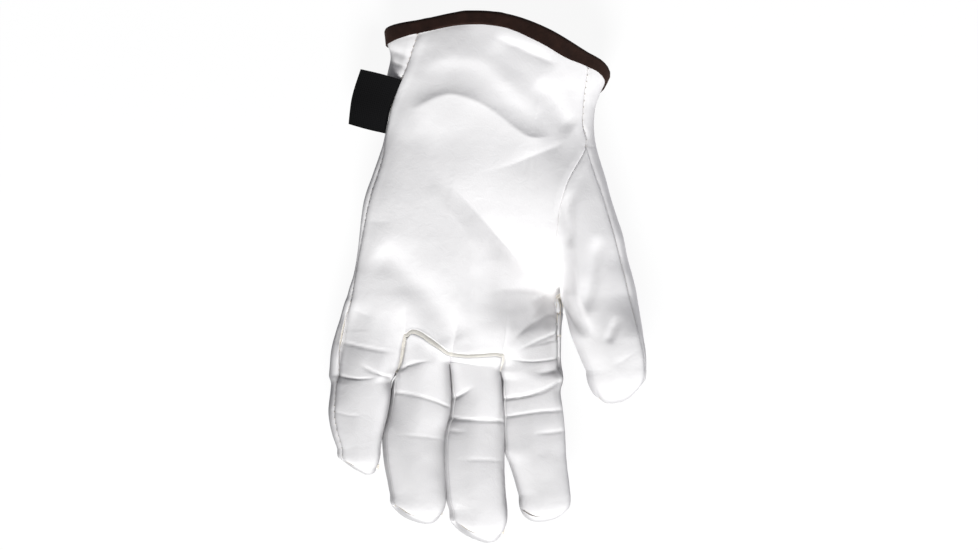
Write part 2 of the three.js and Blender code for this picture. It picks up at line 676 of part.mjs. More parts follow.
function buildNet() {
  const net = new Net();
  const { body, hand } = buildRows();
  settleCrotch(hand);
  for (const { row } of body) {
    pressFolds(row.palm);
    pressFolds(row.thumbFront.slice(1));
    row.thumbFront[0].copy(row.palm[columns.length - 1]);
    row.right[0].copy(row.thumbFront[COLS_PER_FINGER]);
    row.left[0].copy(row.palm[0]);
  }
  for (const { row } of hand.slice(1)) {
    pressFolds(row.palm);
    row.right[0].copy(row.palm[columns.length - 1]);
    row.left[0].copy(row.palm[0]);
  }
  const split = body[body.length - 1].row;
  hand[0].row.right = crossing(split.palm[columns.length - 1], split.back[columns.length - 1]);

  const above = body.filter((item) => item.v <= THUMB_TOP).map((item) => item.row);
  const beside = body.filter((item) => item.v >= THUMB_TOP).map((item) => item.row);
  const whole = body.map((item) => item.row);
  net.patch(whole.map((row) => row.palm), 'palm_panel', false);
  net.patch(whole.map((row) => row.back), 'back_panel', true);
  net.patch(whole.map((row) => row.left), 'back_panel', true);
  net.patch(above.map((row) => row.right), 'back_panel', false);
  net.patch(beside.map((row) => row.right), 'thumb_back', false);
  net.patch(beside.map((row) => row.thumbFront), 'thumb_front', false);
  net.patch(beside.map((row) => row.thumbBack), 'thumb_back', true);

  const n = COLS_PER_FINGER;
  const toWelt = hand.filter((item) => item.v <= WELT_LINE).map((item) => item.row);
  const pastWelt = hand.filter((item) => item.v >= WELT_LINE).map((item) => item.row);
  const rows = hand.map((item) => item.row);
  net.patch(toWelt.map((row) => row.palm), 'palm_panel', false);
  const fronts = ['palm_panel', 'ring_finger_front', 'middle_finger_front', 'palm_panel'];
  fronts.forEach((panel, f) => net.patch(pastWelt.map((row) => row.palm.slice(f * n, f * n + n + 1)), panel, false));
  net.patch(rows.map((row) => row.back), 'back_panel', true);
  net.patch(rows.map((row) => row.left), 'back_panel', true);
  net.patch(rows.slice(0, 2).map((row) => row.right), 'thumb_front', false);
  net.patch(rows.slice(1).map((row) => row.right), 'back_panel', false);

  const last = rows[rows.length - 1];
  const crossings = [1, 2, 3].map((f) => crossing(last.palm[f * n], last.back[f * n]));
  const forks = ['little_ring_fourchette', 'ring_middle_fourchette', 'middle_index_fourchette'];
  FINGERS.forEach((finger, f) => {
    const base = {
      front: last.palm.slice(f * n, f * n + n + 1),
      back: last.back.slice(f * n, f * n + n + 1),
      right: f < 3 ? crossings[f] : last.right,
      left: f > 0 ? crossings[f - 1] : last.left,
    };
    const tube = fingerRows(finger, base, 14);
    for (const row of tube.slice(1)) {
      pressFolds(row.front);
      row.right[0].copy(row.front[n]);
      row.left[0].copy(row.front[0]);
    }
    net.patch(tube.map((row) => row.front), fronts[f], false);
    net.patch(tube.map((row) => row.back), 'back_panel', true);
    net.patch(tube.map((row) => row.right), f < 3 ? forks[f] : 'back_panel', false);
    net.patch(tube.map((row) => row.left), f > 0 ? forks[f - 1] : 'back_panel', true);
  });

  const thumbBase = {
    front: split.thumbFront,
    back: split.thumbBack,
    right: split.right,
    left: hand[0].row.right,
  };
  const thumb = fingerRows(THUMB, thumbBase, 20);
  for (const row of thumb.slice(1)) {
    pressFolds(row.front);
    row.right[0].copy(row.front[n]);
    row.left[0].copy(row.front[0]);
  }
  net.patch(thumb.map((row) => row.front), 'thumb_front', false);
  net.patch(thumb.map((row) => row.left), 'thumb_front', true);
  net.patch(thumb.map((row) => row.right), 'thumb_back', false);
  net.patch(thumb.map((row) => row.back), 'thumb_back', true);
  net.finish();
  return { net, body: whole, hand };
}

// Binding: a folded strip over the cuff edge, on frames that look down the wall
function cuffBinding({ net, body }) {
  const ring = (row) => [
    ...row.palm,
    ...row.right.slice(1),
    ...row.back.slice(0, -1).reverse(),
    ...row.left.slice(1, -1).reverse(),
  ];
  const top = ring(body[0]);
  const next = ring(body[1]);
  const frames = top.map((point, i) => {
    const side = next[i].clone().sub(point).normalize();
    const up = net.normals[net.index(point)].clone();
    up.addScaledVector(side, -up.dot(side)).normalize();
    return { point, side, up, tall: 1 / Math.max(0.8, net.reach[net.index(point)]) };
  });
  const { leg, thick, gap, over } = BINDING;
  const out = gap + thick;
  const back = -WALL - gap;
  const profile = [
    [leg, out], [leg, gap], [-gap, gap], [-gap, back], [leg, back],
    [leg, back - thick], [over - out, back - thick], [-out, back - thick + over], [-out, out - over], [over - out, out],
  ];
  return sweep(frames, profile, true);
}

// Welt: up the ring finger's left edge, across both fingers and down to the index crotch
function fingerWelt({ net, hand }) {
  const n = COLS_PER_FINGER;
  const rows = hand.filter((item) => item.v >= WELT_LINE).map((item) => item.row.palm);
  const down = rows.map((row) => row[3 * n]);
  const up = rows.map((row) => row[n]).reverse();
  const path = [...up.slice(0, -1), ...rows[0].slice(n, 3 * n + 1), ...down.slice(1)];
  const end = path.length - 1;
  const normals = path.map((p) => net.normals[net.index(p)]);
  const points = path.map((p) => p.clone());
  points[0].lerp(path[1], WELT.from);
  points[end].lerp(path[end - 1], WELT.from);
  const frames = points.map((point, i) => {
    const along = points[Math.min(end, i + 1)].clone().sub(points[Math.max(0, i - 1)]).normalize();
    const normal = normals[i].clone().addScaledVector(along, -normals[i].dot(along)).normalize();
    const wide = i === 0 || i === end ? WELT.taper : 1;
    return { point, side: new THREE.Vector3().crossVectors(along, normal), up: normal, wide };
  });
  const { half, low, shoulder, top, flange, deep } = WELT;
  const profile = [
    [flange, deep], [flange, low], [half, low], [half, shoulder], [half * 0.6, top],
    [-half * 0.6, top], [-half, shoulder], [-half, low], [-flange, low], [-flange, deep],
  ];
  return sweep(frames, profile, false);
}

// Label: a flat folded ribbon that comes out of the left seam and lies to the left
function labelTag({ net, body }) {
  const seam = body.map((row) => row.palm[0]);
  const at = (y) => {
    let i = 0;
    while (i < seam.length - 2 && seam[i + 1].y > y) i += 1;
    const t = (seam[i].y - y) / (seam[i].y - seam[i + 1].y);
    const n = mix(net.normals[net.index(seam[i])], net.normals[net.index(seam[i + 1])], t).normalize();
    return { point: mix(seam[i], seam[i + 1], t), normal: n };
  };
  const out = new THREE.Vector3(LABEL_DIRECTION[0], LABEL_DIRECTION[1], 0);
  const sheet = steps(LABEL.rows).map((r) => {
    const { point, normal } = at(lerp(LABEL.yTop, LABEL.yEnd, r));
    point.addScaledVector(out, LABEL.aside);
    const line = [point.clone().addScaledVector(normal, LABEL.deep), point.clone().addScaledVector(normal, 0.2)];
    const rise = point.clone().addScaledVector(normal, LABEL.clear);
    for (const t of steps(LABEL.cols)) {
      const p = rise.clone().addScaledVector(out, 1.2 + (LABEL.reach - 1.2) * t);
      p.z -= LABEL.sag * t * t;
      line.push(p);
    }
    return line;
  });
  const count = sheet[0].length;
  const half = LABEL.thick / 2;
  const along = sheet[0][0].clone().sub(sheet[sheet.length - 1][0]).normalize();
  const frames = sheet.map((line) => ({ line }));
  const points = [];
  for (const { line } of frames) {
    const offsets = line.map((p, i) => {
      const d = line[Math.min(count - 1, i + 1)].clone().sub(line[Math.max(0, i - 1)]);
      return new THREE.Vector3().crossVectors(along, d).normalize();
    });
    line.forEach((p, i) => points.push(p.clone().addScaledVector(offsets[i], -half)));
    for (let i = count - 1; i >= 0; i -= 1) points.push(line[i].clone().addScaledVector(offsets[i], half));
  }
  const size = count * 2;
  const index = [];
  for (let r = 0; r < LABEL.rows; r += 1) {
    for (let k = 0; k < size; k += 1) {
      const l = (k + 1) % size;
      index.push(r * size + k, (r + 1) * size + k, (r + 1) * size + l);
      index.push(r * size + k, (r + 1) * size + l, r * size + l);
    }
  }
  const last = LABEL.rows * size;
  for (let i = 0; i + 1 < count; i += 1) {
    const j = size - 1 - i;
    index.push(i, i + 1, j - 1, i, j - 1, j);
    index.push(last + i, last + j - 1, last + i + 1, last + i, last + j, last + j - 1);
  }
  return outward(points.flatMap((p) => [p.x, p.y, p.z]), index);
}

const PANELS = {
  palm_panel: 'leather',
  back_panel: 'back',
  ring_finger_front: 'leather',
  middle_finger_front: 'leather',
  little_ring_fourchette: 'back',
  ring_middle_fourchette: 'back',
  middle_index_fourchette: 'back',
  thumb_front: 'leather',
  thumb_back: 'back',
};

function mesh(name, geometry, slot) {
  const item = new THREE.Mesh(geometry, new THREE.MeshStandardMaterial(MATERIALS[slot]));
  item.name = name;
  item.material.name = slot;
  return item;
}

const group = new THREE.Group();
group.name = 'leather_driver_glove';
const built = buildNet();
for (const [name, slot] of Object.entries(PANELS)) group.add(mesh(name, panelGeometry(built.net, name), slot));
group.add(mesh('finger_welt', fingerWelt(built), 'welt'));
group.add(mesh('cuff_binding', cuffBinding(built), 'suede'));
group.add(mesh('label_tag', labelTag(built), 'ribbon'));

// The origin is under the middle of the box
const box = new THREE.Box3().setFromObject(group);
const shift = new THREE.Vector3(-(box.min.x + box.max.x) / 2, -(box.min.y + box.max.y) / 2, -box.min.z);
for (const item of group.children) item.geometry.translate(shift.x, shift.y, shift.z);

export default group;
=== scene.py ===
"""Leather driver glove for the left hand, lying palm up: its looks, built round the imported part.

Every shape is worked out in millimetres in the drawing's frame: +X to the thumb, +Y to the cuff,
+Z up. A mesh is moved by DRAWING_SHIFT and scaled to metres when it is made, which puts it in the
part's own frame.
"""
import math

import bpy
import numpy as np
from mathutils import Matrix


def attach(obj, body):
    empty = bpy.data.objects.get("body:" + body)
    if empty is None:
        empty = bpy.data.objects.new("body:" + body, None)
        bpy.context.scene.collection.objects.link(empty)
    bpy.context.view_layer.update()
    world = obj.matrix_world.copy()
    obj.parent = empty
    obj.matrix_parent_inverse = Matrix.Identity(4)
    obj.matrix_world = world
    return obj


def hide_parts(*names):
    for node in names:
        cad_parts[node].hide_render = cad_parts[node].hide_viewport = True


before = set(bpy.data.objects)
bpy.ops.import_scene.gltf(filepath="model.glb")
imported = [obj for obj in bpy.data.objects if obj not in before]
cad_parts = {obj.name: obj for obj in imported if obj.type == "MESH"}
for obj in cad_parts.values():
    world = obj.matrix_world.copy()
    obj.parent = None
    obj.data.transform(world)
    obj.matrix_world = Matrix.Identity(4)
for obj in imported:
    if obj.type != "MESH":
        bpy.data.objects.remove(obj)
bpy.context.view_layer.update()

bl_info = {
    "name": "Leather driver glove",
    "version": (1, 0, 0),
    "blender": (4, 5, 0),
    "location": "View3D > Sidebar > Glove",
    "description": "Builds a leather driver glove piece by piece",
    "category": "Add Mesh",
}

MM = 0.001
DRAWING_SHIFT = np.array([-0.668, -0.619, 0.0])

# Photograph's frame: its middle pixel, the size of a pixel and the height that is in scale
PHOTO_SIZE = (978, 550)
PHOTO_ZERO = (488, 276)
PIXEL_MM = 0.475
IN_SCALE_HEIGHT = 18
CAMERA_HEIGHT = 6000
SENSOR_MM = 36

# Limbs of the glove: their numbers, and their names in the table of folds
HAND, LITTLE, RING, MIDDLE, INDEX, THUMB = range(6)
LIMB_NAMES = ["hand", "little", "ring", "middle", "index", "thumb"]
FINGERS = (LITTLE, RING, MIDDLE, INDEX)

# Panels of the fingers' fronts, and of the sides from the little finger's outer one on
FRONT_PANELS = ("palm_panel", "ring_finger_front", "middle_finger_front", "palm_panel")
SIDE_PANELS = (
    "back_panel", "little_ring_fourchette", "ring_middle_fourchette", "middle_index_fourchette", "back_panel",
)


def table(columns, *rows):
    """A short table: one array for each named column."""
    return dict(zip(columns.split(), np.array(rows, float).T))


# Cross lines of the palm from the cuff to the finger crotches. left and right are the seams,
# y0 to y4 the line's place on the five lengthways lines, steps the rows of the net to the next.
PALM_LINES = table(
    "left right y0 y1 y2 y3 y4 steps",
    (-32.7, 48.2, 120.1, 124.2, 122.9, 116.1, 104.2, 8),
    (-33.6, 47.8, 115.1, 119.2, 117.9, 110.5, 99.4, 19),
    (-38.5, 46.1, 100.2, 103.0, 100.5, 94.5, 86.0, 26),
    (-46.1, 45.3, 81.2, 82.0, 80.5, 76.5, 72.5, 27),
    (-50.0, 46.5, 57.0, 59.0, 60.0, 61.0, 61.3, 27),
    (-56.5, 36.8, 36.5, 38.0, 39.5, 41.0, 42.0, 31),
    (-61.0, 32.8, 13.5, 14.0, 15.0, 16.5, 18.0, 30),
    (-65.2, 34.3, -9.5, -9.5, -9.5, -9.5, -9.5, 30),
    (-68.6, 33.8, -26.0, -27.0, -35.6, -36.0, -31.0, 22),
    (-71.8, 33.8, -47.0, -45.6, -40.8, -44.7, -43.0, 0),
)
LENGTHWAYS = np.arange(5)
LINE_SHARE = np.array([0, 0.27, 0.51, 0.75, 1])
THUMB_TOP = 4
THUMB_CROTCH = 7
THUMB_SEAM_END = 7 + 1 / 3
WELT_LINE = 8
CROTCH_LINE = 9

# Middle of the welt from crotch to crotch and how wide it shows there. It turns at two of its
# rows, which the corners of the palm's net are drawn to over about WELT_PULL. Between the lines
# of SETTLES the palm takes on the fingers' heights, rising to them by FINGER_CLIMB, and a crotch's
# height reaches over SETTLE_SHARE of a finger. WELT_SAMPLES points of each part are compared, and
# those within about WELT_NEAR count.
WELT_PATH = table(
    "x y wide",
    (-44.0, -45.6, 1.2),
    (-41.9, -41.6, 2.8),
    (-40.6, -36.6, 3.4),
    (-40.0, -32.2, 3.3),
    (-39.2, -28.4, 2.9),
    (-37.3, -26.4, 2.7),
    (-34.9, -26.0, 2.6),
    (-31.2, -27.9, 2.5),
    (-26.7, -31.2, 2.4),
    (-23.3, -33.5, 2.3),
    (-19.4, -36.6, 1.9),
    (-16.2, -37.5, 1.5),
    (-10.4, -38.0, 1.3),
    (-3.5, -37.8, 1.3),
    (1.9, -37.3, 1.4),
    (4.8, -37.1, 1.6),
    (7.0, -37.9, 1.7),
    (7.4, -39.6, 1.7),
    (6.8, -42.0, 1.5),
    (5.9, -44.7, 1.0),
)
WELT_TURNS = (4, 16)
SETTLES = (7.05, 8.9)
FINGER_CLIMB = 0.16
SETTLE_SHARE = 0.3
WELT_PULL = 5
WELT_SAMPLES = 24
WELT_NEAR = 1.5

# How much lower the back of the cuff is, and how high the binding holds it off the surface
CUFF_DROP = 7
CUFF_DROP_THUMB_SIDE = 19
CUFF_REST = 1.5
CUFF_REST_ROUNDING = 0.05

# Thumb's outer seam, and the y that each palm line reaches there
THUMB_SEAM = table(
    "y x", (61.3, 46.5), (48.0, 50.8), (36.0, 55.1), (17.0, 60.8), (0.5, 65.1), (-9.0, 67.3)
)
THUMB_LINE_Y = np.array([61.3, 43.5, 19.0, -8.0])
THUMB_BACK_X = 37

# Roundness of the cross-sections: 2 is an ellipse, more is squarer. The back's corner lies
# BACK_CORNER of the half width out. A finger's side bulges by SIDE_FULLNESS of the way to the
# outline, in proportion to how far its corners are apart, SQUARE_SHARE of the depth being whole.
BODY_ROUND = 2.4
FINGER_ROUND = 2.4
FRONT_ROUND_LEFT = 1.85
FRONT_ROUND_RIGHT = 3.4
BACK_CORNER = 0.86
SIDE_FULLNESS = 1.12
SQUARE_SHARE = 0.717

# Where the hand rests: how deep its section is cut flat, and how round the cut's edge is
FLAT_DEPTH = 3
FLAT_ROUNDING = 0.25

# Shares of the half width where the top's height has changed and where the underside lifts, and
# the power of the slope with which the top falls towards the thumb
TOP_SPREAD = 0.7
LIFT_FROM = 0.1
FALL_POWER = 1.5

# Body sections: outline left and right, height of the widest line, heights of the top at the
# left, in the middle and at the right, how far the underside lifts at the right, and how far the
# top falls between the crest and the foot. It stays down to the thumb's seam, past which it
# climbs again over FALL_END.
BODY = table(
    "y left right mid top_left top_mid top_right lift crest foot seam fall",
    (127, -48.8, 61.5, 17, 34, 36, 35, 0, -60, -50, 48, 0),
    (112, -48.0, 60.4, 17, 34, 36, 35, 0, -60, -50, 47.5, 0),
    (104, -46.2, 59.6, 16, 33, 35, 34, 0, -60, -50, 47, 0),
    (95, -48.0, 57.2, 16, 32, 34, 33, 0, -60, -50, 46.5, 0),
    (87, -48.2, 53.4, 15, 31, 33, 32, 0, -55, -46, 46, 0),
    (79, -48.2, 50.8, 15, 31, 32.2, 31.5, 0, -50, -42, 45.5, 0),
    (65, -48.8, 50.8, 15, 30, 32, 32, 0, -42, -34, 46, 0),
    (48, -54.6, 55.3, 15, 30, 32.4, 35.5, 1, -32, -22, 40, 0),
    (36, -58.8, 58.8, 15, 30, 32.8, 38, 2, -23, -11, 35.5, 1.4),
    (19.5, -60.8, 64.0, 15, 30, 32.8, 39.5, 3, -10, 4.3, 33, 4.6),
    (8, -62.2, 66.5, 15, 29.5, 32.3, 40, 4, -8, 15, 33, 10.5),
    (0, -63.8, 68.8, 16, 29, 31.8, 40.5, 5, -9, 24, 33.6, 18),
    (-6, -65.8, 70.3, 16, 28.5, 31.4, 40.8, 5.6, -8, 29, 34, 24.5),
    (-9.5, -67.0, 71.0, 16, 28.5, 31.2, 41, 6, -8, 31, 34.2, 25.5),
    (-12, -67.8, 71.4, 16, 28.5, 31.1, 41, 6, -8, 31, 34.3, 25.5),
)
FALL_END = 9

# The hand below the thumb: the same columns, ending at the index finger's side
HAND_BELOW = table(
    "y left right mid top_left top_mid top_right lift crest foot seam fall",
    (10, -66.4, 34.9, 14, 28.5, 31.2, 20.5, 0, 14, 34, 40, 5.5),
    (-8, -66.4, 34.9, 14, 28.5, 31.2, 20.5, 0, 14, 34, 40, 5.5),
    (-13, -68.2, 34.8, 14, 28.2, 31.1, 21.5, 0, 14, 34, 40, 4.5),
    (-20, -70.2, 34.8, 14, 28, 30.8, 25, 0, 14, 34, 40, 2),
    (-26, -72.4, 34.8, 14, 28, 30.2, 28, 0, 12, 34, 40, 0),
    (-33, -74.2, 34.7, 14, 28.4, 29.4, 29, 0, 12, 33, 40, 0),
    (-40, -75.2, 34.6, 14.5, 29, 28.8, 28, 0, 12, 32, 40, 0),
    (-50, -76.0, 35.6, 15, 29.5, 28.5, 27, 0, 12, 33, 40, 0),
)

# Fingers and thumb: outline left and right, underside and top at each y, the seams as shares of
# the half width and how far the section is turned clockwise. The cap closes the tip over length
# cap by a superellipse of power cap_round, slant moves its right side down and narrow is how much
# the tip narrows. A finger takes its own width over opens and its own height over blend, and its
# tip seam lies seam_deg round the cap.
def digit(*rows, cap, slant, narrow, blend=14, opens=5, cap_round=3.8, seam_deg=44):
    return dict(
        rows=table("y left right low high seam_left seam_right roll", *rows), cap=cap, slant=slant,
        narrow=narrow, blend=blend, opens=opens, cap_round=cap_round, seam_deg=seam_deg,
    )


LIMBS = {
    LITTLE: digit(
        (-46, -74.8, -44.9, 2, 29.0, 0.86, 0.9, 1),
        (-52, -75.1, -45.6, 4, 30.0, 0.86, 0.94, 2),
        (-58, -75.4, -46.2, 6.5, 31.0, 0.86, 0.96, 4),
        (-66, -75.6, -47.6, 10, 32.4, 0.86, 0.97, 5),
        (-74, -74.1, -49.7, 14, 34.0, 0.86, 0.97, 6),
        (-82, -71.4, -50.9, 18, 35.5, 0.86, 0.97, 6),
        cap=10.5, slant=4.5, narrow=0.22,
    ),
    RING: digit(
        (-46, -45.0, -18.3, 2, 28.5, 0.94, 0.94, 4),
        (-52, -45.9, -17.9, 3.4, 29.2, 0.95, 0.95, 9),
        (-58, -46.7, -17.8, 5, 30.2, 0.95, 0.96, 13),
        (-66, -48.1, -18.7, 7.5, 31.8, 0.95, 0.97, 15),
        (-75, -50.2, -21.0, 10.5, 33.9, 0.95, 0.97, 17),
        (-86, -49.8, -21.1, 14, 36.8, 0.95, 0.97, 17),
        (-96, -48.1, -20.7, 17.5, 39.2, 0.95, 0.97, 16),
        (-103.5, -46.6, -20.4, 19.5, 40.8, 0.95, 0.97, 15),
        cap=13, slant=3, narrow=0.2,
    ),
    MIDDLE: digit(
        (-44, -18.8, 6.4, 2, 28.0, 0.94, 0.93, 4),
        (-50, -18.4, 6.2, 3, 28.7, 0.95, 0.95, 9),
        (-58, -18.1, 6.1, 4.5, 29.8, 0.95, 0.96, 13),
        (-66, -19.0, 6.7, 6.5, 31.3, 0.95, 0.97, 15),
        (-73, -21.2, 7.1, 8.5, 32.8, 0.95, 0.97, 17),
        (-88, -21.6, 7.1, 13, 36.6, 0.95, 0.97, 18),
        (-100, -20.6, 7.6, 16.5, 39.6, 0.95, 0.97, 17),
        (-106, -19.8, 8.2, 18, 40.7, 0.95, 0.97, 16),
        (-111, -18.2, 8.6, 19, 41.5, 0.95, 0.97, 16),
        cap=14, slant=4, narrow=0.2,
    ),
    INDEX: digit(
        (-46, 5.9, 34.4, 2, 27.5, 0.93, 0.97, 12),
        (-51, 5.7, 35.4, 3, 28.2, 0.94, 0.98, 12),
        (-55.5, 5.7, 34.0, 3.8, 28.9, 0.94, 0.98, 11),
        (-62, 6.1, 34.9, 5.2, 30.0, 0.94, 0.98, 11),
        (-70, 6.8, 35.8, 7.5, 31.7, 0.94, 0.98, 10),
        (-79, 7.4, 36.4, 10, 33.6, 0.94, 0.98, 9),
        (-84, 7.8, 36.6, 11.5, 34.7, 0.94, 0.98, 9),
        (-89, 9.9, 37.2, 13, 35.8, 0.94, 0.98, 9),
        (-104, 14.6, 38.8, 17.5, 38.6, 0.94, 0.98, 8),
        cap=12, slant=-1.5, narrow=0.13,
    ),
    THUMB: digit(
        (-10, 34.6, 70.3, 5, 37.5, 0.8, 0.8, 4),
        (-20, 36.6, 72.0, 7, 38.0, 0.8, 0.84, 4),
        (-29, 39.6, 73.6, 10, 38.8, 0.8, 0.88, 4),
        (-38, 43.4, 74.9, 13, 39.5, 0.8, 0.92, 4),
        (-45, 46.6, 75.1, 15.5, 39.6, 0.8, 0.95, 4),
        cap=15, slant=-1.5, narrow=0.3, blend=20, opens=20, cap_round=2.5, seam_deg=84,
    ),
}

# How much less a cap reaches out at its corners than in its middle
CAP_CORNER_ROUNDING = 0.45

# How finely the net is cut: steps across a finger, round a side, along a finger and over a tip,
# the columns at the crotches, and how much the steps crowd together at their ends
FINGER_STEPS = 28
CROTCHES = FINGER_STEPS * np.arange(1, 4)
SIDE_STEPS = 14
TUBE_STEPS = 84
CAP_STEPS = 20
EDGE_CROWDING = 0.55

# Leather: its thickness, how far the label spreads its seam and over how many cells a panel
# takes up the gaps at its edges
WALL = 1.5
LABEL_GAP = 0.9
PULL_ROUNDS = 12

# Where several seams meet, the wall is pared to CORNER_WALL of its thickness and the seams are
# CORNER_ROLL as deep and wide, over CORNER_REACH, the wall from CORNER_NEAR on
CORNER_WALL = 0.3
CORNER_NEAR = 0.5
CORNER_ROLL = 0.3
CORNER_REACH = 3.5

# Seams: how deep and how wide the leather rolls in, the gap left between the panels and the
# height of the ridge beside it. A pair of panels that isn't named is joined by a fourchette's seam.
SEAMS = {
    "side": dict(depth=0.85, width=1.7, gap=0.16, ridge=0.2),
    "tip": dict(depth=0.9, width=1.5, gap=0.16, ridge=0.2),
    "thumb_outer": dict(depth=0.55, width=1.3, gap=0.14, ridge=0.12),
    "thumb_inner": dict(depth=0.4, width=1.1, gap=0.06, ridge=0.12),
    "thumb_top": dict(depth=0.04, width=0.8, gap=0.03, ridge=0),
    "welt": dict(depth=0.7, width=1.5, gap=0, ridge=0.1),
    "fourchette": dict(depth=0.08, width=0.8, gap=0.03, ridge=0),
}
SEAM_OF = {
    ("back_panel", "palm_panel"): "side",
    ("back_panel", "ring_finger_front"): "tip",
    ("back_panel", "middle_finger_front"): "tip",
    ("back_panel", "thumb_front"): "thumb_outer",
    ("thumb_back", "thumb_front"): "thumb_outer",
    ("palm_panel", "thumb_front"): "thumb_inner",
    ("back_panel", "thumb_back"): "thumb_top",
    ("palm_panel", "ring_finger_front"): "welt",
    ("middle_finger_front", "palm_panel"): "welt",
}

# Beside a seam: how far off the ridge is, its width and the distance over which it fades before
# SEAM_REACH, the slope added to the roll, and the width and the unevenness of the puckers as
# height, wavelength and seed. The thumb's inner seam fades out between two places in y.
RIDGE_AT = 3.0
RIDGE_WIDTH = 1.5
RIDGE_FADE = 2
SEAM_REACH = 7.8
ROLL_SLOPE = 0.2
PUCKER = {"width": 3.6, "wave": (0.16, 3.1, 7)}
INNER_SEAM_FADES = (-6, 16)

# Folds of the palm side, each along a path from left to right whose rows are x, y and the share of
# the fold's height. above and below are its widths on the two sides, above being the cuff's side. A
# crease is a V with hollow walls and a round fold is a bell; heights under 0 go into the leather.
# bulge raises the side above it, as a share of the height, and line presses in a fine groove.
def fold(limbs, form, height, above, below, bulge, line, path):
    return dict(
        limbs=[LIMB_NAMES.index(name) for name in limbs.split()], power={"crease": 1, "round": 2}[form],
        height=height, above=above, below=below, bulge=bulge, line=line, path=np.array(path, float),
    )


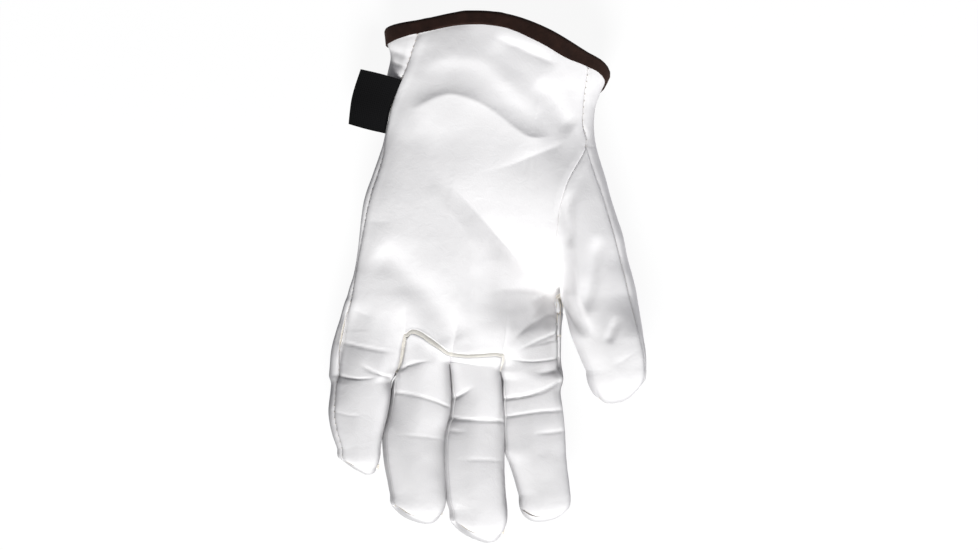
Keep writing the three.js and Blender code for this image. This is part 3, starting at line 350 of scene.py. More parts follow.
FOLDS = {
    "cuff arc": fold("hand", "crease", 3.4, 7, 18, 0, 0, [
        (-39, 77.5, 0), (-30, 81.6, 0.8), (-24.7, 84.4, 1), (-17.6, 86.3, 1), (-9.5, 84.7, 1),
        (-1.4, 81, 1), (6.7, 74.9, 1), (13.8, 69.2, 1), (20.9, 65.4, 0.8), (32, 66.4, 0),
    ]),
    "cuff ridge": fold("hand", "round", 1.5, 6, 5, 0, 0, [
        (-34, 99, 0), (-21.9, 103.6, 0.9), (-9.5, 104.3, 1), (0.5, 100.7, 1), (9.5, 91.7, 1),
        (18.1, 82.7, 0.8), (25.5, 75.5, 0),
    ]),
    "under binding": fold("hand", "crease", -1.4, 1.5, 4.5, 0, 0, [
        (-42, 112, 0), (-32.3, 115, 1), (-22.8, 117.4, 1), (-13.3, 119.1, 0.8), (-4, 119, 0),
    ]),
    "binding valley": fold("hand", "crease", -2.2, 2.5, 5, 0, 0, [
        (2, 113.5, 0), (12.8, 109, 1), (22.8, 104.6, 1), (34, 99.5, 0),
    ]),
    "cuff right": fold("hand", "round", -1.6, 4, 6, 0, 0, [
        (21, 92, 0), (29, 85.5, 1), (36.1, 74.6, 1), (42, 70, 0),
    ]),
    "label pinch": fold("hand", "crease", -1.1, 1.2, 2.6, 0.3, 0.2, [
        (-46, 107, 1), (-42, 105.5, 1), (-37, 103, 0),
    ]),
    "label pinch low": fold("hand", "crease", -1.0, 1.2, 2.6, 0.3, 0.2, [
        (-47, 101.6, 1), (-43, 100.5, 0.9), (-38, 98, 0),
    ]),
    "streak": fold("hand", "crease", -0.9, 2.2, 6, 0, 0, [
        (-5, 47.5, 0), (10.9, 52.7, 0.6), (26.1, 58.9, 1), (39, 64.5, 0),
    ]),
    "heel diagonal": fold("hand", "round", -2.4, 7, 8, 0, 0, [
        (-54, 13.5, 0), (-46, 6.5, 0.9), (-32.3, -6.7, 1), (-24, -16, 0.9), (-17, -26, 0.6),
        (-14, -32, 0),
    ]),
    "thumb diagonal": fold("hand", "round", -1.2, 5, 7, 0, 0.15, [
        (-4, 28, 0), (8, 15.5, 0.7), (18, 5, 1), (27, -2.4, 1), (34, -7, 0.4),
    ]),
    "heel small": fold("hand", "crease", -0.5, 5, 5, 0, 0, [
        (-58, 25.7, 0), (-52, 25.7, 1), (-44, 25.4, 0),
    ]),
    "little pull": fold("hand", "crease", -0.6, 5, 5, 0, 0, [
        (-66, -15.5, 0), (-60, -17.8, 1), (-53, -20.5, 0),
    ]),
    "crotch fan": fold("hand", "crease", -0.5, 2, 3.2, 0, 0, [
        (-4, -8.6, 0), (12.8, -6.2, 1), (29.5, -7.6, 0.6),
    ]),
    "index root": fold("hand", "crease", -2, 5, 8, 0, 0, [
        (12, -29, 0), (18, -23, 0.6), (26, -14, 1), (35, -8, 1),
    ]),
    "crotch wedge": fold("hand", "crease", -4.2, 2.5, 11, 0, 0.2, [
        (20, -13, 0), (30, -8.5, 0.8), (36, -6.5, 1),
    ]),
    "index root middle": fold("hand index", "crease", -0.9, 2.5, 4, 0, 0.3, [
        (8, -34, 0), (20, -23.3, 1), (36, -14, 1),
    ]),
    "index root low": fold("hand index", "crease", -0.7, 2.5, 4, 0, 0.3, [
        (12, -36.5, 0), (24.7, -30.4, 1), (36, -25.7, 1),
    ]),
    "index base": fold("hand index", "crease", -0.5, 3, 3.5, 0, 0.3, [
        (8, -39, 0.2), (20, -40.4, 0.8), (35, -39, 1),
    ]),
    "index pinch": fold("hand index", "crease", -0.9, 2.5, 3, 0, 0.5, [
        (22, -46, 0), (29, -45.2, 1), (37, -43.5, 1),
    ]),
    "thumb seam fold": fold("hand thumb", "round", -1.4, 2.2, 2.2, 0, 0, [
        (38.4, 12, 0), (38, 20, 1), (36.8, 30, 1), (40, 42, 0),
    ]),
    "thumb long fold": fold("hand thumb", "round", -1.7, 3.6, 3.0, 0, 0, [
        (45.4, -20, 0), (47.5, -10.5, 0.9), (49.4, -1.4, 1), (50.8, 9, 1), (53.6, 20, 0),
    ]),
    "thumb low fold": fold("thumb", "round", -1.1, 2.2, 2.0, 0, 0, [
        (56, -33, 0), (58.9, -26.6, 1), (61.2, -18, 0),
    ]),
    "thumb tip fold": fold("thumb", "crease", -0.4, 2.5, 3, 0, 0, [
        (58.5, -43, 0), (64.1, -39.9, 1), (70.5, -35.5, 0.3),
    ]),
    "little joint": fold("hand little", "crease", -0.6, 7, 5, 0, 0.45, [
        (-74, -30.8, 0.1), (-66, -32.2, 1), (-53, -34.8, 0.9), (-43, -36.3, 0.2),
    ]),
    "little joint middle": fold("hand little", "crease", -0.6, 4, 4, 0, 0.4, [
        (-62, -41, 0), (-55, -45, 1), (-45, -48.8, 1),
    ]),
    "little joint low": fold("hand little", "crease", -0.6, 5, 4.5, 0, 0.4, [
        (-73, -47, 0.5), (-62, -48.5, 1), (-52, -48, 0),
    ]),
    "little tip fold": fold("little", "crease", -0.3, 4, 4, 0, 0.1, [
        (-74, -64, 0.5), (-66, -66, 1), (-59, -66, 0),
    ]),
    "ring root": fold("hand ring", "crease", -0.9, 3, 3.5, 0, 0.45, [
        (-45, -44.6, 1), (-36, -41.4, 0.9), (-27, -40, 0),
    ]),
    "ring joint": fold("ring", "crease", -0.7, 9, 6, 0, 0.45, [
        (-47, -55, 0.6), (-37, -56, 1), (-27, -58.5, 1), (-17, -62.5, 0.6),
    ]),
    "ring joint low": fold("ring", "crease", -0.3, 5, 4, 0, 0.15, [
        (-46, -75, 0), (-31, -76, 1), (-22, -77.5, 0.4),
    ]),
    "middle root": fold("middle", "crease", -1.2, 2.5, 3.5, 0, 0.6, [
        (-19.5, -59, 1), (-13, -56, 0.8), (-5, -51.5, 0),
    ]),
    "middle joint": fold("middle", "crease", -0.9, 7, 5.5, 0, 0.6, [
        (-20, -67, 0.9), (-9, -68, 1), (9, -69, 0.8),
    ]),
    "middle joint low": fold("middle", "crease", -0.5, 4, 4, 0, 0.25, [
        (-23, -72.3, 1), (-16, -73.6, 0.8), (-8, -73.6, 0),
    ]),
    "middle tip fold": fold("middle", "crease", -0.35, 5, 4, 0, 0.2, [
        (-14, -87, 0), (-4, -87, 1), (7, -87.6, 0.5),
    ]),
    "index joint": fold("index", "crease", -1.1, 5, 4.5, 0, 0.85, [
        (4, -58.7, 0.8), (16, -57, 1), (25, -54.8, 1), (31, -52.3, 1), (38, -49, 0.8),
    ]),
    "index joint low": fold("index", "crease", -0.7, 5, 5, 0, 0.45, [
        (5, -67.3, 0.7), (18, -65, 1), (27, -64, 1), (38, -63.5, 0.7),
    ]),
    "index tip fold": fold("index", "crease", -0.5, 3, 4, 0, 0.3, [
        (20, -75, 0), (30, -74, 1), (38, -73.4, 0.9),
    ]),
}

# Folds in general: the groove's width, how many widths off a fold ends, how far up the leather
# faces where folds begin and over how much more they are whole, and where the bulge stands and how
# wide it is, in widths above
LINE_WIDTH = 0.55
FOLD_ENDS = 4
FACING_FROM = 0.05
FACING_OVER = 0.6
BULGE_AT = 2.6
BULGE_WIDTH = 1.6

# Random unevenness of the leather as height, wavelength and seed, its share where the glove lies
# flat, and how far up a normal has to turn until it is whole
WAVES = ((0.45, 22, 1), (0.16, 9, 2), (0.05, 4.2, 3))
FLAT_WAVES = 0.25
WHOLE_WAVES = 1.2

# Cuff binding: the strip's leg, thickness and gap to the wall, how far it stands past the edge,
# the rounding of its two lips and how much deeper than the edge its pocket is
BINDING = {"leg": 5.3, "thick": 0.9, "gap": 0.1, "round": 0.9, "lip": 0.3, "deeper": 0.05}

# How much wider the outer leg is above the middle finger and towards the seams, and where: it
# widens over a distance from flat on, to both sides of centre, and is narrow again past back_from
BINDING_SPREAD = {
    "least": 0.88, "most": 1.4, "centre": -12, "flat": 8, "over": 40, "back_from": 36, "back_over": 16,
}

# Unevenness of the binding as height, wavelength and seed: its face, its nap, its lower edge and
# the small puckers of its fold
BINDING_WAVES = {
    "face": (0.16, 5.0, 31), "nap": (0.07, 1.6, 32), "edge": (0.28, 7.0, 33), "fold": (0.3, 6.0, 34),
}

# Welt: how far its edges are tucked under the leather, height of its middle, how low its edges
# are, its thickness, and its unevenness as height, wavelength and seed
WELT = {"tuck": 0.3, "crown": 0.55, "edge": 0.25, "thick": 0.8, "wave": (0.1, 3.0, 41)}

# Painted shade on the steep leather of the fingers and thumb: how level it still is where the shade
# begins and where it is whole, the reach of y, and how much later the thumb begins, which is right of
# thumb_from
PAINTED_SHADE = {
    "level": 0.86, "upright": 0.3, "y_start": 8, "y_full": -30, "thumb_later": 24, "thumb_from": 37,
    "thumb_over": 4,
}

# Label, a folded ribbon in the left seam: its two ends along the seam, how far it reaches out at
# them, its thickness, how deep it is sewn in, how clear of the leather it starts, how it sags, half
# the gap in its fold in thicknesses, how much it waves and shifts along the seam, and how far past
# its two ends it spreads the seam
LABEL = {
    "y_top": 93.1, "y_end": 67.4, "reach_top": 18.9, "reach_end": 16.9, "thick": 0.42, "deep": 1.0,
    "clear": 1.1, "sag": 3.0, "fold": 0.75, "wave": 0.35, "shift": 0.25,
    "past_top": 1, "past_end": 2,
}
LABEL_DIRECTION = np.array([-0.968, 0.253, 0.0])

# Thread: its thickness, how far a stitch reaches to each side of the seam, how much it slants, how
# far its ends dip, the spacing of the stitches, how deep they are sunk, and the y above which the
# thumb's inner seam shows them
STITCH = {"thick": 0.36, "reach": 0.65, "slant": 0.35, "dip": 0.35, "pitch": 3.0, "sunk": 0.62}
INNER_STITCHES_ABOVE = 34

# Tones of what no setting changes: the painted shade of steep leather, the leather's inside and the thread
PAINTED_SHADE_TONE = "#dcdcdd"
INSIDE_TONES = ("#ece6da", "#ddd3c3")
THREAD_TONES = ("#e4dfd6", "#c9c2b6")

# Threads of the ribbon: their direction and how far apart they are drawn. A wave texture has one
# ridge in each 2 pi / 20 of a unit, so its scale is multiplied by that.
RIBBON_THREADS = (("X", 0.9), ("Y", 0.8))
WAVE_SCALE = 2 * math.pi / 20

# Seam edges are compared with the points in groups of this many, from squares of this size
GROUP_COUNT = 24
GROUP_SIZE = 6

# Random numbers of the noise, a power of two, and a shift that keeps its cells' numbers positive
LATTICE = 4096
FAR_CORNER = 1000

# Studio, in metres: lights as name, place, size and colour, and the floor and the sky
LIGHTS = (
    ("key", (-0.08, -1.2, 1.14), (0.75, 0.7), "#ffffff"),
    ("fill", (1.6, -0.1, 0.22), (0.5, 0.35), "#fdfdff"),
)
FLOOR_HALF = 4.0
FLOOR_TONE = "#555555"
FLOOR_GLOW = 0.92
SKY_TONE = "#f6f6ff"


# Plain helpers

def lerp(a, b, t):
    return a + (b - a) * t


def smooth(t):
    """Smooth step: 0 up to 0, 1 from 1 on, with level ends."""
    t = np.clip(t, 0, 1)
    return t * t * (3 - 2 * t)


def soft_max(a, b, radius):
    """The larger of a and b, with the corner between them rounded over about radius."""
    return np.maximum(a, b) + radius * np.log1p(np.exp(-np.abs(a - b) / radius))


def unit(v):
    return v / np.maximum(np.linalg.norm(v, axis=-1, keepdims=True), 1e-12)


def curve(places, values, at):
    """Smooth curve through values at rising places: cubic pieces, each place's slope that of the
    line between its two neighbours. values may have more axes after the first."""
    places = np.asarray(places, float)
    values = np.asarray(values, float)
    at = np.clip(at, places[0], places[-1])
    order = np.arange(len(places))
    low = np.maximum(order - 1, 0)
    high = np.minimum(order + 1, len(places) - 1)
    spare = (1,) * (values.ndim - 1)
    slopes = (values[high] - values[low]) / (places[high] - places[low]).reshape(-1, *spare)
    i = np.clip(np.searchsorted(places, at, side="right") - 1, 0, len(places) - 2)
    span = (places[i + 1] - places[i]).reshape(at.shape + spare)
    t = (at.reshape(at.shape + spare) - places[i].reshape(at.shape + spare)) / span
    return (
        values[i] * (1 + 2 * t) * (1 - t) ** 2
        + values[i + 1] * t * t * (3 - 2 * t)
        + slopes[i] * span * t * (1 - t) ** 2
        - slopes[i + 1] * span * t * t * (1 - t)
    )


def section(rows, y):
    """Every column of a table read at y."""
    return {key: curve(-rows["y"], rows[key], -y) for key in rows if key != "y"}


def crowded(count):
    """count steps from 0 to 1, closer together at both ends."""
    t = np.linspace(0, 1, count + 1)
    return lerp(t, (1 - np.cos(np.pi * t)) / 2, EDGE_CROWDING)


def noise(points, size, seed):
    """Smooth random heights from -1 to 1 that change over about size: random numbers at the
    corners of a cubic lattice, mixed by smooth steps."""
    primes = np.array([73856093, 19349663, 83492791])
    values = np.random.default_rng(int(seed)).uniform(-1, 1, LATTICE)
    cell = np.asarray(points) / size + FAR_CORNER
    base = np.floor(cell).astype(np.int64)
    f = smooth(cell - base)
    total = np.zeros(cell.shape[:-1])
    for corner in np.ndindex(2, 2, 2):
        weight = np.prod(np.where(np.array(corner) == 1, f, 1 - f), axis=-1)
        total += weight * values[((base + corner) @ primes) & (LATTICE - 1)]
    return total


def uneven(points, height, size, seed):
    return height * noise(points, size, seed)


# Cross-sections of the hand

def arch(u, power):
    """Third side of the superellipse: 1 in the middle, 0 at the outline."""
    return np.maximum(0, 1 - np.abs(u) ** power) ** (1 / power)


def top_at(s, u):
    """Height of a section's top: from top_mid to top_right or top_left by a smooth step."""
    return lerp(s["top_mid"], np.where(u > 0, s["top_right"], s["top_left"]), smooth(np.abs(u) / TOP_SPREAD))


def body_point(s, y, u, w):
    """Superellipse section: x is u half widths from the middle, z is w of the way from the widest
    line to the top, or to FLAT_DEPTH below the surface, where it is cut flat."""
    x = (s["left"] + s["right"]) / 2 + (s["right"] - s["left"]) / 2 * u
    floor = s["lift"] * smooth((u - LIFT_FROM) / (1 - LIFT_FROM))
    up = s["mid"] + (top_at(s, u) - s["mid"]) * w
    down = soft_max(floor, s["mid"] + (s["mid"] - floor + FLAT_DEPTH) * w, FLAT_ROUNDING)
    return np.stack(np.broadcast_arrays(x, y, np.where(w >= 0, up, down)), axis=-1)


def share_of(s, x):
    return np.clip((2 * x - s["left"] - s["right"]) / (s["right"] - s["left"]), -0.999, 0.999)


def fall_at(s, x):
    """How far the top falls towards the thumb: a growing slope from the crest to the foot, and a
    smooth climb back over FALL_END past the thumb's seam."""
    down = np.clip((x - s["crest"]) / (s["foot"] - s["crest"]), 0, 1) ** FALL_POWER
    return s["fall"] * down * (1 - smooth((x - s["seam"]) / FALL_END))


def palm_point(rows, x, y):
    s = section(rows, y)
    u = share_of(s, x)
    point = body_point(s, y, u, arch(u, BODY_ROUND))
    point[..., 2] -= fall_at(s, x)
    return point


def back_point(rows, x, y):
    s = section(rows, y)
    u = share_of(s, x)
    return body_point(s, y, u, -arch(u, BODY_ROUND))


def body_side(rows, start, y_end, sign):
    """Side from a palm seam round the outline to the back's corner: the superellipse's angle runs
    evenly from the seam's to the corner's while y runs from the seam's to y_end."""
    power = 2 / BODY_ROUND
    q = crowded(SIDE_STEPS)
    y = lerp(start[:, 1:2], np.asarray(y_end).reshape(-1, 1), q)
    s = section(rows, y)
    first = np.arccos(np.abs(share_of(s, start[:, 0:1])) ** (1 / power))
    last = -math.acos(BACK_CORNER ** (1 / power))
    angle = lerp(first, last, q)
    w = np.sign(angle) * np.abs(np.sin(angle)) ** power
    side = body_point(s, y, sign * np.cos(angle) ** power, w)
    side[..., 2] -= fall_at(s, start[:, 0:1]) * (1 - smooth(q))
    return side


def line_of(key, v):
    return curve(np.arange(len(PALM_LINES["left"])), PALM_LINES[key], v)


COLUMNS = np.unique(np.round(np.concatenate([f + crowded(FINGER_STEPS) for f in range(4)]), 9))
ACROSS = crowded(FINGER_STEPS)
SHARE = curve(LENGTHWAYS, LINE_SHARE, COLUMNS)


def straight_plan(v):
    """Plan x and y of the palm net: x runs from seam to seam by SHARE, y follows the five
    lengthways lines."""
    places = np.stack([line_of(f"y{i}", v) for i in range(5)])
    x = lerp(line_of("left", v)[:, None], line_of("right", v)[:, None], SHARE)
    return x, curve(LENGTHWAYS, places, COLUMNS).T


def lengths_along(line):
    """Length of a line of points from its start to each of them."""
    return np.concatenate([[0], np.cumsum(np.linalg.norm(np.diff(line, axis=0), axis=1))])


def spread(line, count):
    """count points evenly spaced along a line of points, its ends included."""
    lengths = lengths_along(line)
    at = np.linspace(0, lengths[-1], count)
    return np.stack([np.interp(at, lengths, column) for column in line.T], axis=1)


def welt_path():
    return np.stack([WELT_PATH["x"], WELT_PATH["y"]], axis=1)


def welt_targets():
    """Points of the straight net that border the set-in fingers, and where WELT_PATH has them:
    each of its three parts is taken at even steps."""
    x, y = straight_plan(np.linspace(CROTCH_LINE, WELT_LINE, 13))
    first, last = FINGER_STEPS, 3 * FINGER_STEPS
    plan = np.stack([x, y], axis=-1)
    borders = [plan[:, first], plan[-1, first:last + 1], plan[::-1, last]]
    path = welt_path()
    a, b = WELT_TURNS
    parts = [path[:a + 1], path[a:b + 1], path[b:]]
    borders = [spread(border, WELT_SAMPLES) for border in borders]
    targets = [spread(part, WELT_SAMPLES) for part in parts]
    return np.concatenate(borders), np.concatenate(targets)


def palm_plan(v):
    """The straight net, drawn to the welt's path: each point moves by the mean of the border's
    moves, weighted by exp(-(distance / WELT_PULL)^2)."""
    x, y = straight_plan(v)
    borders, targets = welt_targets()
    near = np.flatnonzero(v > THUMB_CROTCH)
    plan = np.stack([x[near], y[near]], axis=-1)
    gap = np.linalg.norm(plan[:, :, None] - borders, axis=-1)
    weight = np.exp(-((gap / WELT_NEAR) ** 2)) + 1e-9 * np.exp(-gap)
    move = (weight[..., None] * (targets - borders)).sum(axis=2) / weight.sum(axis=2)[..., None]
    plan += move * np.exp(-((gap.min(axis=2) / WELT_PULL) ** 2))[..., None]
    x[near], y[near] = plan[..., 0], plan[..., 1]
    return x, y


def mixed_plan(a, b):
    """Plan places on the straight lines from points a to points b."""
    return (lerp(a[:, i:i + 1], b[:, i:i + 1], ACROSS) for i in range(2))


def body_rows(v):
    """Rows of the net round the body, from the cuff to the thumb's crotch."""
    x, y = palm_plan(v)
    palm = palm_point(BODY, x, y)
    easing = smooth(1 - np.maximum(0, v - 1) / (THUMB_TOP - 1))
    drop = CUFF_DROP * easing
    in_thumb = np.clip((v - THUMB_TOP) / (THUMB_CROTCH - THUMB_TOP), 0, 1)
    seam_y = curve(np.arange(4), THUMB_LINE_Y, np.clip(v - THUMB_TOP, 0, 3))
    seam_x = curve(-THUMB_SEAM["y"], THUMB_SEAM["x"], -seam_y)
    inner = palm[:, -1]
    outer = np.where(in_thumb[:, None] > 0, palm_point(BODY, seam_x, seam_y), inner)
    thumb_front = palm_point(BODY, *mixed_plan(inner, outer))
    right_end = outer[:, 1] - CUFF_DROP_THUMB_SIDE * easing
    right = body_side(BODY, outer, right_end, 1)
    left = body_side(BODY, palm[:, 0], palm[:, 0, 1] - drop, -1)
    corner = right[:, -1]
    inner_x = lerp(corner[:, 0], THUMB_BACK_X, smooth(in_thumb))
    inner_y = np.where(in_thumb > 0, y[:, -1], right_end)
    back_x = lerp(left[:, -1, 0:1], inner_x[:, None], SHARE)
    back_y = lerp(y - drop[:, None], np.where(in_thumb[:, None] > 0, y, inner_y[:, None]), SHARE ** 2)
    back = back_point(BODY, back_x, back_y)
    back[:, 0] = left[:, -1]
    back[in_thumb == 0, -1] = corner[in_thumb == 0]
    thumb_back = back_point(BODY, *mixed_plan(back[:, -1], corner))
    thumb_front[:, 0] = palm[:, -1]
    right[:, 0] = thumb_front[:, -1]
    thumb_back[:, 0] = back[:, -1]
    thumb_back[:, -1] = corner
    rest = CUFF_REST * (1 - smooth(v - 1))
    for part in (right, thumb_back, back, left):
        part[..., 2] = soft_max(part[..., 2], rest[:, None], CUFF_REST_ROUNDING)
    return dict(palm=palm, thumb_front=thumb_front, right=right, thumb_back=thumb_back, back=back, left=left)


def hand_rows(v):
    """Rows of the hand below the thumb, before they are joined to the rows above."""
    x, y = palm_plan(v)
    palm = palm_point(HAND_BELOW, x, y)
    right = body_side(HAND_BELOW, palm[:, -1], palm[:, -1, 1], 1)
    left = body_side(HAND_BELOW, palm[:, 0], palm[:, 0, 1], -1)
    back = back_point(HAND_BELOW, lerp(left[:, -1, 0:1], right[:, -1, 0:1], SHARE), y)
    right[:, 0] = palm[:, -1]
    left[:, 0] = palm[:, 0]
    back[:, 0] = left[:, -1]
    back[:, -1] = right[:, -1]
    return dict(palm=palm, right=right, back=back, left=left)


def joined(rows, own, base, share):
    """Rows moved by a share of how far their own first row is from the row it should meet. share
    has one column, or one each for x, y and z."""
    return {key: rows[key] + (base[key] - own[key]) * share[:, None] for key in rows}


def crossing(top, bottom):
    """Straight line of points from a palm crotch to a back crotch."""
    return lerp(top, bottom, crowded(SIDE_STEPS)[:, None])


# Fingers

def finger_side(front, back, sign, bulge):
    """Side between the front and back corners: the straight mix, bulged by 4q(1 - q)."""
    q = crowded(SIDE_STEPS)
    side = lerp(front[:, None], back[:, None], q[:, None])
    side[..., 0] += sign * bulge[:, None] * SIDE_FULLNESS * 4 * q * (1 - q)
    return side


def finger_rows(limb, y, cap):
    """Rows round a finger: a superellipse section at y, closed over the tip by another one as cap
    goes from 0 to 1. The front turns down over seam_deg and the back comes up over the rest of 180
    degrees, so the back shows past the seam between them."""
    rows = limb["rows"]
    s = {key: value[:, None] for key, value in section(rows, y).items()}
    half = (s["right"] - s["left"]) / 2
    centre = (s["right"] + s["left"]) / 2
    middle = (s["high"] + s["low"]) / 2
    depth = (s["high"] - s["low"]) / 2
    climb = (rows["high"][-1] - rows["high"][-2]) / (rows["y"][-2] - rows["y"][-1])
    close = 2 / limb["cap_round"]
    turn = np.radians(s["roll"])
    u = lerp(-s["seam_left"], s["seam_right"], ACROSS)

    def point(w, degrees):
        angle = np.radians(degrees * cap)[:, None]
        closed = np.sin(angle) ** 2
        around = 1 - CAP_CORNER_ROUNDING * np.abs(u) ** 3
        out = np.sin(angle) ** close * limb["cap"] * around + limb["slant"] * u * closed
        side = half * u * (1 - limb["narrow"] * closed)
        rise = depth * w * np.abs(np.cos(angle)) ** close * np.sign(np.cos(angle))
        x = centre + side * np.cos(turn) + rise * np.sin(turn)
        z = middle - side * np.sin(turn) + rise * np.cos(turn)
        return np.stack([x, y[:, None] - out, z + climb * np.maximum(0, out)], axis=-1)

    front = point(arch(u, np.where(u < 0, FRONT_ROUND_LEFT, FRONT_ROUND_RIGHT)), limb["seam_deg"])
    back = point(-arch(u, FINGER_ROUND), 180 - limb["seam_deg"])
    sides = {}
    for name, end, sign in (("right", -1, 1), ("left", 0, -1)):
        apart = np.linalg.norm(front[:, end] - back[:, end], axis=1) / (2 * depth[:, 0] * SQUARE_SHARE)
        bulge = (half * (1 - s["seam_" + name]))[:, 0] * apart
        sides[name] = finger_side(front[:, end], back[:, end], sign, bulge)
    return dict(front=front, back=back, **sides)


def finger_tube(limb, base):
    """All rows of a finger: from the row where it leaves the hand to the tip seam."""
    first, last = limb["rows"]["y"][0], limb["rows"]["y"][-1]
    y = lerp(first, last, np.linspace(0, 1, TUBE_STEPS + 1))
    tube = finger_rows(limb, y, np.zeros(len(y)))
    own = {key: rows[0] for key, rows in tube.items()}
    reach = np.array([limb["opens"], limb["blend"], limb["blend"]])
    tube = joined(tube, own, base, 1 - smooth((first - y)[:, None] / reach))
    cap = np.sin(np.linspace(0, 1, CAP_STEPS + 1)[1:] * np.pi / 2)
    tip = finger_rows(limb, np.full(CAP_STEPS, last), cap)
    return {key: np.concatenate([tube[key], tip[key]]) for key in tube}


# The whole net

def row_places():
    """Line numbers of the net's rows: PALM_LINES' steps between each two lines."""
    places = [i + np.arange(n) / n for i, n in enumerate(PALM_LINES["steps"]) if n]
    return np.concatenate([*places, [CROTCH_LINE]])


def settled(hand, v):
    """Palm and back rows eased into the heights that the fingers have at the crotch line. At a
    crotch two fingers share one height: their mean in front, the lower at the back."""
    tops = []
    floors = []
    for f in FINGERS:
        row = finger_rows(LIMBS[f], LIMBS[f]["rows"]["y"][:1], np.zeros(1))
        tops.append(row["front"][0, :, 2])
        floors.append(row["back"][0, :, 2])
    share = smooth((v - SETTLES[0]) / (SETTLES[1] - SETTLES[0]))[:, None]
    for key, lists, meet in (("palm", tops, np.mean), ("back", floors, np.min)):
        own = hand[key][-1, :, 2]
        target = np.empty(len(COLUMNS))
        for f, heights in enumerate(lists):
            start = own[0] if f == 0 else meet([lists[f - 1][-1], heights[0]])
            end = own[-1] if f == 3 else meet([heights[-1], lists[f + 1][0]])
            eased = heights + (start - heights[0]) * smooth(1 - ACROSS / SETTLE_SHARE)
            eased = eased + (end - heights[-1]) * smooth(1 - (1 - ACROSS) / SETTLE_SHARE)
            target[f * FINGER_STEPS:(f + 1) * FINGER_STEPS + 1] = eased
        hand[key][..., 2] += (target - own) * share
    short = np.maximum(0, hand["palm"][..., 1] - hand["palm"][-1, :, 1])
    hand["palm"][..., 2] -= FINGER_CLIMB * short * share
    hand["back"][..., 2] = np.maximum(0, hand["back"][..., 2])
    for side, end in (("left", 0), ("right", -1)):
        hand[side][:, 0] = hand["palm"][:, end]
        hand[side][:, -1] = hand["back"][:, end]
    return hand


def round_cuff(body, row):
    """One row of the body's net, all the way round and open at its start."""
    ends = [body["palm"][row], body["right"][row, 1:], body["back"][row, -2::-1], body["left"][row, -2:0:-1]]
    return np.concatenate(ends)


def body_and_hand(body_v, hand_v):
    """Rows of the net from the cuff to the thumb's crotch, and from there to the finger crotches,
    the second ones eased into the first."""
    body, hand = body_rows(body_v), hand_rows(hand_v)
    own = {key: rows[0] for key, rows in hand.items()}
    palm, back = body["palm"][-1], body["back"][-1]
    base = dict(palm=palm, back=back, left=body["left"][-1], right=crossing(palm[-1], back[-1]))
    share = 1 - smooth((hand_v[:, None] - THUMB_CROTCH) / (CROTCH_LINE - THUMB_CROTCH))
    return body, settled(joined(hand, own, base, share), hand_v)


def finger_patches(hand, below_welt):
    """Patches of the four fingers, each with its part of the palm below the welt, and the grids of
    their fronts."""
    palm, back = hand["palm"][-1], hand["back"][-1]
    forks = [crossing(palm[i], back[i]) for i in CROTCHES]
    sides = [hand["left"][-1], *forks, hand["right"][-1]]
    patches, fronts = [], []
    for f, limb in enumerate(FINGERS):
        part = slice(f * FINGER_STEPS, (f + 1) * FINGER_STEPS + 1)
        tube = finger_tube(LIMBS[limb], dict(
            front=palm[part], back=back[part], right=sides[f + 1], left=sides[f],
        ))
        fronts.append(tube["front"])
        patches += [
            (FRONT_PANELS[f], limb, below_welt[:, part], False),
            (FRONT_PANELS[f], limb, tube["front"], False),
            ("back_panel", limb, tube["back"], True),
            (SIDE_PANELS[f + 1], limb, tube["right"], False),
            (SIDE_PANELS[f], limb, tube["left"], True),
        ]
    return patches, fronts


def stitched_lines(body, left, inner, fronts, thumb_front):
    """The sewn seams that show their stitches: both sides, the thumb's inner seam and the tips."""
    little, ring, middle, index = fronts
    return [
        np.concatenate([left, little[1:, 0], little[-1, 1:]]),
        np.concatenate([body["thumb_front"][:, -1], thumb_front[1:, -1]]),
        inner[inner[:, 1] > INNER_STITCHES_ABOVE],
        np.concatenate([index[TUBE_STEPS // 2:, -1], index[-1, -2::-1]]),
        ring[-1],
        middle[-1],
    ]


